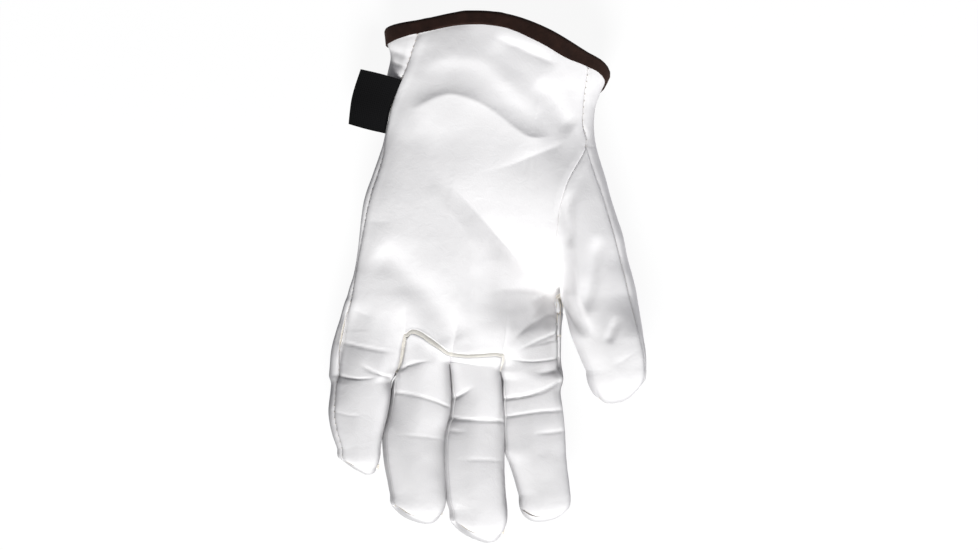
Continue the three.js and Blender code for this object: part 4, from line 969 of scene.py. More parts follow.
def net_patches():
    """Patches of the net as (panel, limb, grid, turned round), all their edges shared, and the
    lines on it that the cuff, the welt and the seams follow."""
    v = row_places()
    body_v, hand_v = v[v <= THUMB_CROTCH], v[v >= THUMB_CROTCH]
    body, hand = body_and_hand(body_v, hand_v)
    above, beside = body_v <= THUMB_TOP, body_v >= THUMB_TOP
    to_seam, past_seam = hand_v <= THUMB_SEAM_END + 1e-9, hand_v >= THUMB_SEAM_END - 1e-9
    below_welt = hand["palm"][hand_v >= WELT_LINE]
    fingers, fronts = finger_patches(hand, below_welt)
    thumb = finger_tube(LIMBS[THUMB], dict(
        front=body["thumb_front"][-1], back=body["thumb_back"][-1], right=body["right"][-1],
        left=hand["right"][0],
    ))
    patches = [
        ("palm_panel", HAND, body["palm"], False),
        ("back_panel", HAND, body["back"], True),
        ("back_panel", HAND, body["left"], True),
        ("back_panel", HAND, body["right"][above], False),
        ("thumb_back", THUMB, body["right"][beside], False),
        ("thumb_front", THUMB, body["thumb_front"][beside], False),
        ("thumb_back", THUMB, body["thumb_back"][beside], True),
        ("palm_panel", HAND, hand["palm"][hand_v <= WELT_LINE], False),
        ("back_panel", HAND, hand["back"], True),
        ("back_panel", HAND, hand["left"], True),
        ("thumb_front", HAND, hand["right"][to_seam], False),
        ("back_panel", HAND, hand["right"][past_seam], False),
        *fingers,
        ("thumb_front", THUMB, thumb["front"], False),
        ("thumb_front", THUMB, thumb["left"], True),
        ("thumb_back", THUMB, thumb["right"], False),
        ("thumb_back", THUMB, thumb["back"], True),
    ]
    left = np.concatenate([body["palm"][:, 0], hand["palm"][1:, 0]])
    inner = body["palm"][beside, -1]
    tips = [front[-1, end] for front in (*fronts, thumb["front"]) for end in (0, -1)]
    crotches = [hand[side][-1, i] for side in ("palm", "back") for i in CROTCHES]
    welt_row, ends = below_welt[0], CROTCHES[[0, -1]]
    lines = dict(
        cuff=round_cuff(body, 0),
        cuff_next=round_cuff(body, int(PALM_LINES["steps"][0])),
        left=left,
        welt=np.concatenate([
            below_welt[:0:-1, ends[0]], welt_row[ends[0]:ends[1] + 1], below_welt[1:, ends[1]],
        ]),
        stitched=stitched_lines(body, left, inner, fronts, thumb["front"]),
        corners=np.array([*tips, *crotches, body["palm"][-1, -1], body["back"][-1, -1]]),
    )
    return patches, lines


def triangles_of(points, quads):
    """Each four-sided cell as two triangles, cut along its shorter diagonal."""
    a, b, c, d = (points[quads[:, i]] for i in range(4))
    straight = np.linalg.norm(a - c, axis=1) <= np.linalg.norm(b - d, axis=1)
    pick = np.where(straight[:, None], [0, 1, 2, 0, 2, 3], [0, 1, 3, 1, 2, 3])
    faces = np.take_along_axis(quads, pick, axis=1).reshape(-1, 3)
    whole = (faces[:, 0] != faces[:, 1]) & (faces[:, 1] != faces[:, 2]) & (faces[:, 0] != faces[:, 2])
    return faces[whole], np.repeat(np.arange(len(quads)), 2)[whole]


def grid_cells(rows, columns, round_columns=False, round_rows=False):
    """Corner numbers of every cell of a grid of points, row after row, closed where asked."""
    ids = np.arange(rows * columns).reshape(rows, columns)
    if round_columns:
        ids = np.concatenate([ids, ids[:, :1]], axis=1)
    if round_rows:
        ids = np.concatenate([ids, ids[:1]])
    return np.stack([ids[:-1, :-1], ids[1:, :-1], ids[1:, 1:], ids[:-1, 1:]], axis=-1).reshape(-1, 4)


def welded_net():
    """All patches as one net: points, triangles, and each triangle's panel and limb number."""
    patches, lines = net_patches()
    names = sorted({panel for panel, _, _, _ in patches})
    points, quads, panels, limbs = [], [], [], []
    count = 0
    for panel, limb, grid, turned in patches:
        cells = grid_cells(*grid.shape[:2]) + count
        quads.append(cells[:, ::-1] if turned else cells)
        panels.append(np.full(len(cells), names.index(panel)))
        limbs.append(np.full(grid.shape[0] * grid.shape[1], limb))
        points.append(grid.reshape(-1, 3))
        count += len(points[-1])
    points = np.concatenate(points)
    keys = np.round(points * 1000).astype(np.int64)
    _, first, merged = np.unique(keys, axis=0, return_index=True, return_inverse=True)
    merged = merged.reshape(-1)
    net = dict(points=points[first], names=names, lines=lines)
    net["limb"] = np.zeros(len(first), int)
    np.maximum.at(net["limb"], merged, np.concatenate(limbs))
    faces, cell = triangles_of(net["points"], merged[np.concatenate(quads)])
    net["faces"] = faces
    net["panel"] = np.concatenate(panels)[cell]
    return net


def point_normals(points, faces):
    """Sum of the neighbouring triangles' normals, each as long as its area, made unit."""
    a, b, c = (points[faces[:, i]] for i in range(3))
    across = np.cross(b - a, c - a)
    total = np.zeros_like(points)
    for i in range(3):
        np.add.at(total, faces[:, i], across)
    return unit(total)


# Folds and seams

def along_path(points, path):
    """Signed distance in plan from each point to a path, positive on its left hand, and the third
    column of the path at the nearest place."""
    fine = curve(np.arange(len(path)), path, np.linspace(0, len(path) - 1, 6 * (len(path) - 1) + 1))
    nearest = np.full(len(points), np.inf)
    signed = np.zeros(len(points))
    share = np.zeros(len(points))
    for start, end in zip(fine[:-1], fine[1:]):
        long = np.linalg.norm(end[:2] - start[:2])
        step = (end[:2] - start[:2]) / long
        rel = points[:, :2] - start[:2]
        t = np.clip(rel @ step, 0, long)
        gap = rel - t[:, None] * step
        distance = np.linalg.norm(gap, axis=1)
        closer = distance < nearest
        nearest[closer] = distance[closer]
        side = step[0] * gap[:, 1] - step[1] * gap[:, 0]
        signed[closer] = (np.sign(side) * distance)[closer]
        share[closer] = lerp(start[2], end[2], t / long)[closer]
    return signed, share


def fold_heights(net, normals):
    """Height that the folds give each point: height exp(-|s / width|^p) at distance s from the
    path, p being 1 for a crease and 2 for a round fold, ended smoothly at FOLD_ENDS widths."""
    points = net["points"]
    total = np.zeros(len(points))
    facing = smooth((normals[:, 2] - FACING_FROM) / FACING_OVER)
    for part in FOLDS.values():
        path, above = part["path"], part["above"]
        reach = FOLD_ENDS * max(above, part["below"])
        low, high = path[:, :2].min(0) - reach, path[:, :2].max(0) + reach
        inside = np.all((points[:, :2] > low) & (points[:, :2] < high), axis=1)
        chosen = np.flatnonzero(inside & np.isin(net["limb"], part["limbs"]) & (facing > 0))
        signed, share = along_path(points[chosen], path)
        far = np.abs(signed / np.where(signed > 0, above, part["below"]))
        wave = part["height"] * np.exp(-far ** part["power"]) * smooth(2 - 2 * far / FOLD_ENDS)
        bulge = np.exp(-(((signed - BULGE_AT * above) / (BULGE_WIDTH * above)) ** 2))
        groove = np.exp(-((signed / LINE_WIDTH) ** 2))
        wave += part["bulge"] * abs(part["height"]) * bulge - part["line"] * groove
        total[chosen] += wave * smooth(share) * facing[chosen]
    return total


def edges_of(faces):
    return np.concatenate([faces[:, [0, 1]], faces[:, [1, 2]], faces[:, [2, 0]]])


def seam_edges(net):
    """Edges between two panels: their end points and the numbers of the two panels."""
    count = len(net["faces"])
    edges = np.sort(edges_of(net["faces"]), axis=1)
    panel = np.tile(net["panel"], 3)
    order = np.lexsort((edges[:, 1], edges[:, 0]))
    edges, panel = edges[order], panel[order]
    same = np.all(edges[1:] == edges[:-1], axis=1) & (panel[1:] != panel[:-1])
    pairs = np.sort(np.stack([panel[:-1][same], panel[1:][same]], axis=1), axis=1)
    return edges[:-1][same], pairs


def seam_kinds(names, pairs):
    """Kind of each seam edge, by the two panels that it joins."""
    found, which = np.unique(pairs, axis=0, return_inverse=True)
    kinds = np.array([SEAM_OF.get((names[a], names[b]), "fourchette") for a, b in found])
    return kinds[which.reshape(-1)]


def seam_distance(points, starts, ends, reach):
    """Distance from each point to the nearest of many short segments, no more than reach. The
    segments are taken in small groups, each tested only with the points near its box."""
    nearest = np.full(len(points), float(reach))
    order = np.lexsort((starts[:, 1] // GROUP_SIZE, starts[:, 0] // GROUP_SIZE))
    starts, ends = starts[order], ends[order]
    for i in range(0, len(starts), GROUP_COUNT):
        a, b = starts[i:i + GROUP_COUNT], ends[i:i + GROUP_COUNT]
        low = np.minimum(a, b).min(0) - reach
        high = np.maximum(a, b).max(0) + reach
        chosen = np.flatnonzero(np.all((points > low) & (points < high), axis=1))
        rel = points[chosen][:, None] - a
        step = b - a
        t = np.clip((rel * step).sum(-1) / np.maximum((step * step).sum(-1), 1e-12), 0, 1)
        distance = np.linalg.norm(rel - t[..., None] * step, axis=-1).min(1)
        nearest[chosen] = np.minimum(nearest[chosen], distance)
    return nearest


def from_corners(net, used):
    """Distance from the chosen points to the nearest place where several seams meet."""
    gaps = net["flat_points"][used][:, None] - net["lines"]["corners"]
    return np.linalg.norm(gaps, axis=-1).min(axis=1)


def seam_heights(net):
    """How far the leather rolls in at its seams: a quarter round of the roll's width, a low ridge
    beside it, and puckers at the spacing of the stitches. Where two seams meet, the deeper counts."""
    points = net["points"]
    rolls = np.zeros(len(points))
    ridges = np.zeros(len(points))
    fading = smooth((points[:, 1] - INNER_SEAM_FADES[0]) / (INNER_SEAM_FADES[1] - INNER_SEAM_FADES[0]))
    for kind, form in SEAMS.items():
        edges = net["seams"][net["kinds"] == kind]
        gap = seam_distance(points, points[edges[:, 0]], points[edges[:, 1]], SEAM_REACH)
        share = fading if kind == "thumb_inner" else 1
        near = np.clip(1 - gap / form["width"], 0, 1)
        pucker = uneven(points, *PUCKER["wave"]) * smooth(1 - gap / PUCKER["width"])
        roll = np.sqrt(1 - near ** 2) - 1 + pucker - ROLL_SLOPE * near
        rolls = np.minimum(rolls, share * form["depth"] * roll)
        ridge = np.exp(-(((gap - RIDGE_AT) / RIDGE_WIDTH) ** 2)) * smooth((SEAM_REACH - gap) / RIDGE_FADE)
        ridges = np.maximum(ridges, share * form["ridge"] * ridge)
    apart = from_corners(net, slice(None))
    return (rolls + ridges) * lerp(CORNER_ROLL, 1, smooth(apart / CORNER_REACH))


def wave_heights(points, normals):
    """Random unevenness: smooth noise of three sizes, less where the glove lies flat."""
    up = smooth((normals[:, 2] + 1) / WHOLE_WAVES)
    return sum(uneven(points, *wave) for wave in WAVES) * lerp(FLAT_WAVES, 1, up)


def leather_net():
    """The net with folds, unevenness and rolled seams, and the smoother surface under it that the
    inner walls follow."""
    net = welded_net()
    faces = net["faces"]
    net["flat_points"] = net["points"]
    normals = point_normals(net["points"], faces)
    heights = fold_heights(net, normals) + wave_heights(net["points"], normals)
    net["points"] = net["points"] + normals * heights[:, None]
    net["points"][:, 2] = np.maximum(net["points"][:, 2], 0)
    net["under_normals"] = point_normals(net["points"], faces)
    net["under"] = net["points"].copy()
    net["seams"], net["pairs"] = seam_edges(net)
    net["kinds"] = seam_kinds(net["names"], net["pairs"])
    heights = seam_heights(net)
    net["points"] = net["points"] + net["under_normals"] * heights[:, None]
    net["points"][:, 2] = np.maximum(net["points"][:, 2], 0)
    return net


def along_welt(net, points):
    """How far along the welt line, from 0 to 1, the nearest place to each point is."""
    line = net["lines"]["welt"]
    lengths = lengths_along(line)
    nearest = np.linalg.norm(points[:, None] - line, axis=-1).argmin(axis=1)
    return lengths[nearest] / lengths[-1]


def welt_width(t):
    """Visible width of the welt at t of its length, from WELT_PATH."""
    lengths = lengths_along(welt_path())
    return np.interp(t, lengths / lengths[-1], WELT_PATH["wide"])


def seam_gaps(net):
    """Half the gap at each seam edge, by the edge's two point numbers as one number."""
    kinds = net["kinds"]
    gaps = np.zeros(len(kinds))
    for kind, form in SEAMS.items():
        gaps[kinds == kind] = form["gap"] / 2
    welt = np.flatnonzero(kinds == "welt")
    gaps[welt] = welt_width(along_welt(net, net["flat_points"][net["seams"][welt, 0]])) / 2
    x, y, _ = net["points"][net["seams"]].mean(axis=1).T
    at_label = (x < 0) & (y > LABEL["y_end"] - LABEL["past_end"]) & (y < LABEL["y_top"] + LABEL["past_top"])
    gaps[(kinds == "side") & at_label] = LABEL_GAP / 2
    keys = net["seams"][:, 0] * len(net["points"]) + net["seams"][:, 1]
    order = np.argsort(keys)
    return keys[order], gaps[order]


def taken_up(pull, faces, fixed):
    """The pull at a panel's rim, taken up by the cells inside it: rounds of the mean of each
    point's neighbours, the rim kept."""
    edges = edges_of(faces)
    count = len(pull)
    degree = np.maximum(np.bincount(edges[:, 0], minlength=count), 1)
    held = pull.copy()
    for _ in range(PULL_ROUNDS):
        mean = [np.bincount(edges[:, 0], pull[edges[:, 1], i], minlength=count) / degree for i in range(3)]
        pull = np.where(fixed[:, None], held, np.stack(mean, axis=1))
    return pull


def rim_of(faces, count):
    """Edges that only one triangle has: their start and end points and the triangle's number."""
    edges = edges_of(faces)
    key, back = (edges[:, i] * count + edges[:, 1 - i] for i in (0, 1))
    rim = ~np.isin(key, back)
    return edges[rim, 0], edges[rim, 1], np.tile(np.arange(len(faces)), 3)[rim]


def rim_gaps(net, start, end):
    """Half the gap at each rim edge, by its two point numbers in the whole net, or 0."""
    keys, gaps = net["gaps"]
    wanted = np.minimum(start, end) * len(net["points"]) + np.maximum(start, end)
    at = np.clip(np.searchsorted(keys, wanted), 0, len(keys) - 1)
    return np.where(keys[at] == wanted, gaps[at], 0)


def panel_shell(net, name):
    """One panel as a closed leather wall: its part of the net pulled back by half the gap at its
    seams, the same net WALL deeper, and a rim of cells between their edges."""
    faces = net["faces"][net["panel"] == net["names"].index(name)]
    used, faces = np.unique(faces, return_inverse=True)
    faces = faces.reshape(-1, 3)
    outer = net["points"][used]
    a, b, third = rim_of(faces, len(used))
    corners = outer[faces[third]]
    flat = unit(np.cross(corners[:, 1] - corners[:, 0], corners[:, 2] - corners[:, 0]))
    inward = unit(np.cross(flat, outer[b] - outer[a]))
    gap = rim_gaps(net, used[a], used[b])
    pull = np.zeros_like(outer)
    for ends in (a, b):
        np.add.at(pull, ends, inward * (gap / 2)[:, None])
    fixed = np.zeros(len(outer), bool)
    fixed[a] = True
    apart = from_corners(net, used)
    pull *= lerp(CORNER_ROLL, 1, smooth(apart / CORNER_REACH))[:, None]
    pull = taken_up(pull, faces, fixed)
    thick = WALL * lerp(CORNER_WALL, 1, smooth((apart - CORNER_NEAR) / CORNER_REACH))
    inner = net["under"][used] + pull - net["under_normals"][used] * thick[:, None]
    count = len(outer)
    walls = np.stack([a, b, b + count, a + count], axis=1)[:, ::-1]
    rims = np.concatenate([np.stack([a, b], axis=1), np.stack([a, b], axis=1) + count])
    return np.concatenate([outer + pull, inner]), faces, faces[:, ::-1] + count, walls, rims


# Making meshes

def to_frame(points):
    return (np.asarray(points) + DRAWING_SHIFT) * MM


def make_mesh(name, points, groups, materials):
    """A mesh object from points in the drawing's millimetres. groups holds arrays of faces, each
    with the number of its material, and all faces are shaded smooth."""
    mesh = bpy.data.meshes.new(name)
    mesh.from_pydata(to_frame(points).tolist(), [], sum((group.tolist() for group, _ in groups), []))
    slots = np.concatenate([np.full(len(group), number) for group, number in groups])
    mesh.polygons.foreach_set("material_index", slots.astype(np.int32))
    mesh.polygons.foreach_set("use_smooth", np.ones(len(slots), bool))
    mesh.update()
    item = bpy.data.objects.new(name, mesh)
    bpy.context.scene.collection.objects.link(item)
    for material in materials:
        mesh.materials.append(material)
    return item


def mark_sharp(mesh, pairs):
    """Keeps the shading of the two sides of these edges apart."""
    ends = np.empty(2 * len(mesh.edges), np.int32)
    mesh.edges.foreach_get("vertices", ends)
    count = len(mesh.vertices)
    keys, wanted = (np.sort(part, axis=1) @ [count, 1] for part in (ends.reshape(-1, 2), pairs))
    mesh.edges.foreach_set("use_edge_sharp", np.isin(keys, wanted))


def mark_painted_shade(mesh):
    """Attribute that marks painted shade: 1 where the leather of the fingers and thumb turns down at the
    sides and tips.
    """
    count = len(mesh.vertices)
    places = np.empty(3 * count, np.float32)
    normals = np.empty(3 * count, np.float32)
    mesh.vertices.foreach_get("co", places)
    mesh.vertex_normals.foreach_get("vector", normals)
    level = np.abs(normals[2::3])
    steep = smooth((PAINTED_SHADE["level"] - level) / (PAINTED_SHADE["level"] - PAINTED_SHADE["upright"]))
    x, y = (places[i::3] / MM - DRAWING_SHIFT[i] for i in (0, 1))
    y = y + PAINTED_SHADE["thumb_later"] * smooth((x - PAINTED_SHADE["thumb_from"]) / PAINTED_SHADE["thumb_over"])
    low = smooth((PAINTED_SHADE["y_start"] - y) / (PAINTED_SHADE["y_start"] - PAINTED_SHADE["y_full"]))
    layer = mesh.attributes.new("rubbed", "FLOAT", "POINT")
    layer.data.foreach_set("value", (steep * low).astype(np.float32))


def outward(points, faces):
    """The same faces, turned round where the volume they enclose is negative."""
    a, b, c = (points[faces[:, i]] for i in range(3))
    return faces if np.einsum("ij,ij->", a, np.cross(b, c)) > 0 else faces[:, ::-1]


def carried(points, sides, ups, profile):
    """The points of a profile carried along frames: point + side * s + up * n. profile is
    (frames, steps, 2)."""
    return points[:, None] + sides[:, None] * profile[..., 0:1] + ups[:, None] * profile[..., 1:2]


def sweep(points, sides, ups, profile, closed):
    """A solid from a closed profile carried along frames, which are closed too or are capped."""
    grid = carried(points, sides, ups, profile)
    rows, size = grid.shape[:2]
    flat = grid.reshape(-1, 3)
    faces = [grid_cells(rows, size, True, closed)]
    if not closed:
        flat = np.concatenate([flat, grid[[0, -1]].mean(axis=1)])
        ring = np.arange(size + 1) % size
        for row, centre, way in ((ring, rows * size, 1), (ring + (rows - 1) * size, rows * size + 1, -1)):
            middle = np.full(size, centre)
            faces.append(np.stack([row[:-1], row[1:], middle, middle], axis=1)[:, ::way])
    triangles, _ = triangles_of(flat, np.concatenate(faces))
    return flat, outward(flat, triangles)


# Materials

def linear(hex_colour):
    """An sRGB hex colour as linear red, green, blue and alpha."""
    parts = [int(hex_colour[i:i + 2], 16) / 255 for i in (1, 3, 5)]
    return [p / 12.92 if p <= 0.04045 else ((p + 0.055) / 1.055) ** 2.4 for p in parts] + [1.0]


def toned(colour, share=1.0):
    """A linear colour darkened to a share of itself, with alpha."""
    return [part * share for part in colour] + [1.0]


def add(tree, kind, inputs=None, stops=(), **settings):
    """Adds one node: inputs are its sockets' values or the outputs that are linked to them, stops
    the places and colours of a ramp, and settings the node's properties."""
    node = tree.nodes.new(kind)
    for key, value in settings.items():
        setattr(node, key, value)
    for key, value in (inputs or {}).items():
        if isinstance(value, bpy.types.NodeSocket):
            tree.links.new(value, node.inputs[key])
        else:
            node.inputs[key].default_value = value
    for number, (place, colour) in enumerate(stops):
        element = node.color_ramp.elements[number]
        element.position, element.color = place, colour
    return node


def started(name):
    """A new material without nodes, and its node tree."""
    material = bpy.data.materials.new(name)
    material.use_nodes = True
    material.node_tree.nodes.clear()
    return material, material.node_tree


def finished(tree, bump, looks):
    """Ends a material with a surface that has the bump and the looks, and with the output."""
    shader = add(tree, "ShaderNodeBsdfPrincipled", {"Normal": bump.outputs["Normal"], **looks})
    add(tree, "ShaderNodeOutputMaterial", {"Surface": shader.outputs["BSDF"]})


def per_mm(size_mm):
    """Scale of a pattern on Object coordinates, in metres, whose cells are size_mm wide."""
    return 1 / (size_mm * MM)


def grain_leather(name, light, shade, rough):
    """Chrome-tanned grain goatskin with a matt pigment finish: fine pebbled pores about 0.7 mm
    apart, drawn 0.95 mm apart so that they show, soft hair cells, a faint uneven tone, and a
    greyer painted shade where the fingers and thumb turn steeply down at their sides and tips."""
    material, tree = started(name)
    place = add(tree, "ShaderNodeTexCoord").outputs["Object"]
    tone = add(tree, "ShaderNodeTexNoise", {
        "Vector": place, "Scale": per_mm(26), "Detail": 4.0, "Roughness": 0.55,
    })
    pores = add(tree, "ShaderNodeTexVoronoi", {
        "Vector": place, "Scale": per_mm(0.95), "Randomness": 1.0,
    }, feature="F1")
    hair = add(tree, "ShaderNodeTexNoise", {
        "Vector": place, "Scale": per_mm(0.6), "Detail": 3.0, "Roughness": 0.6,
    })
    creases = add(tree, "ShaderNodeTexNoise", {
        "Vector": place, "Scale": per_mm(5.0), "Detail": 5.0, "Roughness": 0.62, "Distortion": 0.9,
    })
    clean = add(tree, "ShaderNodeValToRGB", {"Fac": tone.outputs["Fac"]}, stops=[(0.3, shade), (0.62, light)])
    # Painted shade: the colour is multiplied towards a grey tone where the leather of the fingers and thumb
    # turns steeply down
    rubbed = add(tree, "ShaderNodeAttribute", attribute_name="rubbed")
    colour = add(tree, "ShaderNodeMix", {
        0: rubbed.outputs["Fac"], 6: clean.outputs["Color"], 7: linear(PAINTED_SHADE_TONE),
    }, data_type="RGBA", blend_type="MULTIPLY")
    pebbles = add(tree, "ShaderNodeMath", {
        0: pores.outputs["Distance"], 1: 0.6, 2: hair.outputs["Fac"],
    }, operation="MULTIPLY_ADD")
    fine = add(tree, "ShaderNodeBump", {
        "Height": pebbles.outputs[0], "Strength": 0.16, "Distance": 0.12 * MM,
    })
    coarse = add(tree, "ShaderNodeBump", {
        "Height": creases.outputs["Fac"], "Strength": 0.35, "Distance": 0.5 * MM,
        "Normal": fine.outputs["Normal"],
    })
    roughness = add(tree, "ShaderNodeMapRange", {
        "Value": creases.outputs["Fac"], "To Min": rough - 0.06, "To Max": rough + 0.08,
    })
    finished(tree, coarse, {
        "Base Color": colour.outputs[2], "Roughness": roughness.outputs["Result"], "IOR": 1.46,
        "Specular IOR Level": 0.32, "Sheen Weight": 0.05, "Sheen Roughness": 0.5,
    })
    return material


def flesh_side(name, light, shade):
    """The leather's unfinished inner face: a short nap of loose fibres, cream and quite matt."""
    material, tree = started(name)
    place = add(tree, "ShaderNodeTexCoord").outputs["Object"]
    nap = add(tree, "ShaderNodeTexNoise", {
        "Vector": place, "Scale": per_mm(0.5), "Detail": 6.0, "Roughness": 0.75,
    })
    patches = add(tree, "ShaderNodeTexNoise", {
        "Vector": place, "Scale": per_mm(7), "Detail": 4.0, "Roughness": 0.6,
    })
    colour = add(tree, "ShaderNodeValToRGB", {
        "Fac": patches.outputs["Fac"],
    }, stops=[(0.32, shade), (0.66, light)])
    bump = add(tree, "ShaderNodeBump", {
        "Height": nap.outputs["Fac"], "Strength": 0.6, "Distance": 0.3 * MM,
    })
    finished(tree, bump, {
        "Base Color": colour.outputs["Color"], "Roughness": 0.95, "Specular IOR Level": 0.1,
        "Sheen Weight": 0.2, "Sheen Roughness": 0.6,
    })
    return material


def split_suede(name, light, shade):
    """Dyed split suede: a short brushed nap that scatters light, with darker rubbed patches and
    a few paler fibres."""
    material, tree = started(name)
    place = add(tree, "ShaderNodeTexCoord").outputs["Object"]
    nap = add(tree, "ShaderNodeTexNoise", {
        "Vector": place, "Scale": per_mm(0.45), "Detail": 7.0, "Roughness": 0.8,
    })
    patches = add(tree, "ShaderNodeTexNoise", {
        "Vector": place, "Scale": per_mm(5), "Detail": 5.0, "Roughness": 0.65,
    })
    mixed = add(tree, "ShaderNodeMath", {
        0: nap.outputs["Fac"], 1: 0.45, 2: patches.outputs["Fac"],
    }, operation="MULTIPLY_ADD")
    colour = add(tree, "ShaderNodeValToRGB", {"Fac": mixed.outputs[0]}, stops=[(0.5, shade), (0.95, light)])
    bump = add(tree, "ShaderNodeBump", {
        "Height": nap.outputs["Fac"], "Strength": 0.7, "Distance": 0.35 * MM,
    })
    finished(tree, bump, {
        "Base Color": colour.outputs["Color"], "Roughness": 0.9, "Specular IOR Level": 0.2,
        "Sheen Weight": 0.25, "Sheen Roughness": 0.45, "Sheen Tint": linear("#6b4a3c"),
    })
    return material


def woven_ribbon(name, light, shade):
    """Damask-woven polyester ribbon: warp threads 0.35 mm and weft 0.3 mm apart, drawn 0.9 and
    0.8 mm apart as crossed ridges from the piece's own map, so that they show, with a slight
    silky gloss."""
    material, tree = started(name)
    place = add(tree, "ShaderNodeUVMap", uv_map="weave").outputs["UV"]
    waves = [add(tree, "ShaderNodeTexWave", {
        "Vector": place, "Scale": per_mm(pitch) * WAVE_SCALE, "Distortion": 0.4, "Detail": 1.0,
    }, wave_type="BANDS", bands_direction=way, wave_profile="SIN") for way, pitch in RIBBON_THREADS]
    weave = add(tree, "ShaderNodeMath", {
        0: waves[0].outputs["Fac"], 1: waves[1].outputs["Fac"],
    }, operation="MAXIMUM")
    colour = add(tree, "ShaderNodeValToRGB", {"Fac": weave.outputs[0]}, stops=[(0.2, shade), (0.95, light)])
    bump = add(tree, "ShaderNodeBump", {
        "Height": weave.outputs[0], "Strength": 0.5, "Distance": 0.15 * MM,
    })
    finished(tree, bump, {
        "Base Color": colour.outputs["Color"], "Roughness": 0.75, "Specular IOR Level": 0.06,
    })
    return material


def spun_thread(name, light, shade):
    """Bonded three-ply sewing thread: pale, lightly twisted, with a soft gloss."""
    material, tree = started(name)
    place = add(tree, "ShaderNodeTexCoord").outputs["Object"]
    fibre = add(tree, "ShaderNodeTexNoise", {"Vector": place, "Scale": per_mm(0.3), "Detail": 3.0})
    colour = add(tree, "ShaderNodeValToRGB", {
        "Fac": fibre.outputs["Fac"],
    }, stops=[(0.35, shade), (0.65, light)])
    bump = add(tree, "ShaderNodeBump", {
        "Height": fibre.outputs["Fac"], "Strength": 0.4, "Distance": 0.08 * MM,
    })
    finished(tree, bump, {
        "Base Color": colour.outputs["Color"], "Roughness": 0.6, "Specular IOR Level": 0.3,
    })
    return material


def painted_floor(name, colour, glow):
    """Matt studio floor: grey paint that glows an even white, as a floor lit from within does,
    with a faint unevenness."""
    material, tree = started(name)
    place = add(tree, "ShaderNodeTexCoord").outputs["Object"]
    grain = add(tree, "ShaderNodeTexNoise", {"Vector": place, "Scale": per_mm(60), "Detail": 2.0})
    bump = add(tree, "ShaderNodeBump", {
        "Height": grain.outputs["Fac"], "Strength": 0.05, "Distance": 0.2 * MM,
    })
    finished(tree, bump, {
        "Base Color": colour, "Roughness": 0.9, "Specular IOR Level": 0.1,
        "Emission Color": (1.0, 1.0, 1.0, 1.0), "Emission Strength": glow,
    })
    return material


# Properties

def colour_property(name, hex_colour, description):
    return bpy.props.FloatVectorProperty(
        name=name, description=description, subtype="COLOR", size=3, min=0, max=1,
        default=linear(hex_colour)[:3],
    )


class GloveColours(bpy.types.PropertyGroup):
    """Colours that a user would change."""

    palm: colour_property("Palm", "#f3f2f2", "Grain leather of the palm side")
    back: colour_property("Back", "#efeeee", "Grain leather of the back and the finger sides")
    welt: colour_property("Welt", "#d8d5cd", "Cream welt between the palm and the finger fronts")
    binding: colour_property("Binding", "#301d16", "Suede strip round the cuff")
    label: colour_property("Label", "#111112", "Woven ribbon in the side seam")


class GloveLight(bpy.types.PropertyGroup):
    """Studio settings that a user would change."""

    key: bpy.props.FloatProperty(
        name="Key light", description="Power of the large soft light at the finger end", default=34.3,
        min=0, unit="POWER")
    fill: bpy.props.FloatProperty(
        name="Fill light", description="Power of the low light at the thumb's side", default=9.0,
        min=0, unit="POWER")
    sky: bpy.props.FloatProperty(
        name="Sky", description="Brightness of the even light from all round", default=0.14, min=0)


def own(piece, slot, *nodes):
    """Joins a piece to the frame's root body and hides the solids that it stands for. slot is not used."""
    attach(piece, "root")
    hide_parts(*nodes)


PANELS = {
    "palm_panel": "leather",
    "ring_finger_front": "leather",
    "middle_finger_front": "leather",
    "thumb_front": "leather",
    "back_panel": "back",
    "thumb_back": "back",
    "little_ring_fourchette": "back",
    "ring_middle_fourchette": "back",
    "middle_index_fourchette": "back",
}

built = {}


def current_net():
    """The leather net, worked out once and shared by every piece that lies on it."""
    if "net" not in built:
        built["net"] = leather_net()
        built["net"]["gaps"] = seam_gaps(built["net"])
    return built["net"]


# Operators

class GLOVE_OT_panels(bpy.types.Operator):
    """Leather panels: palm, back, finger fronts, fourchettes and thumb"""

    bl_idname = "glove.panels"
    bl_label = "Leather panels"

    def execute(self, context):
        colours = context.scene.glove_colours
        palm, back = colours.palm, colours.back
        grain = {
            "leather": grain_leather("grain_goatskin_palm", toned(palm), toned(palm, 0.965), 0.62),
            "back": grain_leather("grain_goatskin_back", toned(back), toned(back, 0.955), 0.66),
        }
        inside = flesh_side("goatskin_flesh_side", linear(INSIDE_TONES[0]), linear(INSIDE_TONES[1]))
        net = current_net()
        for name, slot in PANELS.items():
            points, outer, inner, walls, rims = panel_shell(net, name)
            groups = [(outer, 0), (inner, 1), (walls, 1)]
            piece = make_mesh(f"{name}_leather", points, groups, [grain[slot], inside])
            mark_sharp(piece.data, rims)
            mark_painted_shade(piece.data)
            own(piece, slot, name)
        return {"FINISHED"}


class GLOVE_OT_binding(bpy.types.Operator):
    """Suede strip folded over the cuff's edge"""

    bl_idname = "glove.binding"
    bl_label = "Cuff binding"

    def execute(self, context):
        colour = context.scene.glove_colours.binding
        points, faces = cuff_binding(current_net())
        suede = split_suede("split_suede_binding", toned(colour), toned(colour, 0.42))
        piece = make_mesh("cuff_binding_suede", points, [(faces, 0)], [suede])
        own(piece, "suede", "cuff_binding")
        return {"FINISHED"}


class GLOVE_OT_welt(bpy.types.Operator):
    """Cream welt at the base of the ring and middle fingers"""

    bl_idname = "glove.welt"
    bl_label = "Finger welt"

    def execute(self, context):
        colour = context.scene.glove_colours.welt
        points, faces = finger_welt(current_net())
        cream = flesh_side("welt_cream_leather", toned(colour), toned(colour, 0.9))
        piece = make_mesh("finger_welt_strip", points, [(faces, 0)], [cream])
        own(piece, "welt", "finger_welt")
        return {"FINISHED"}


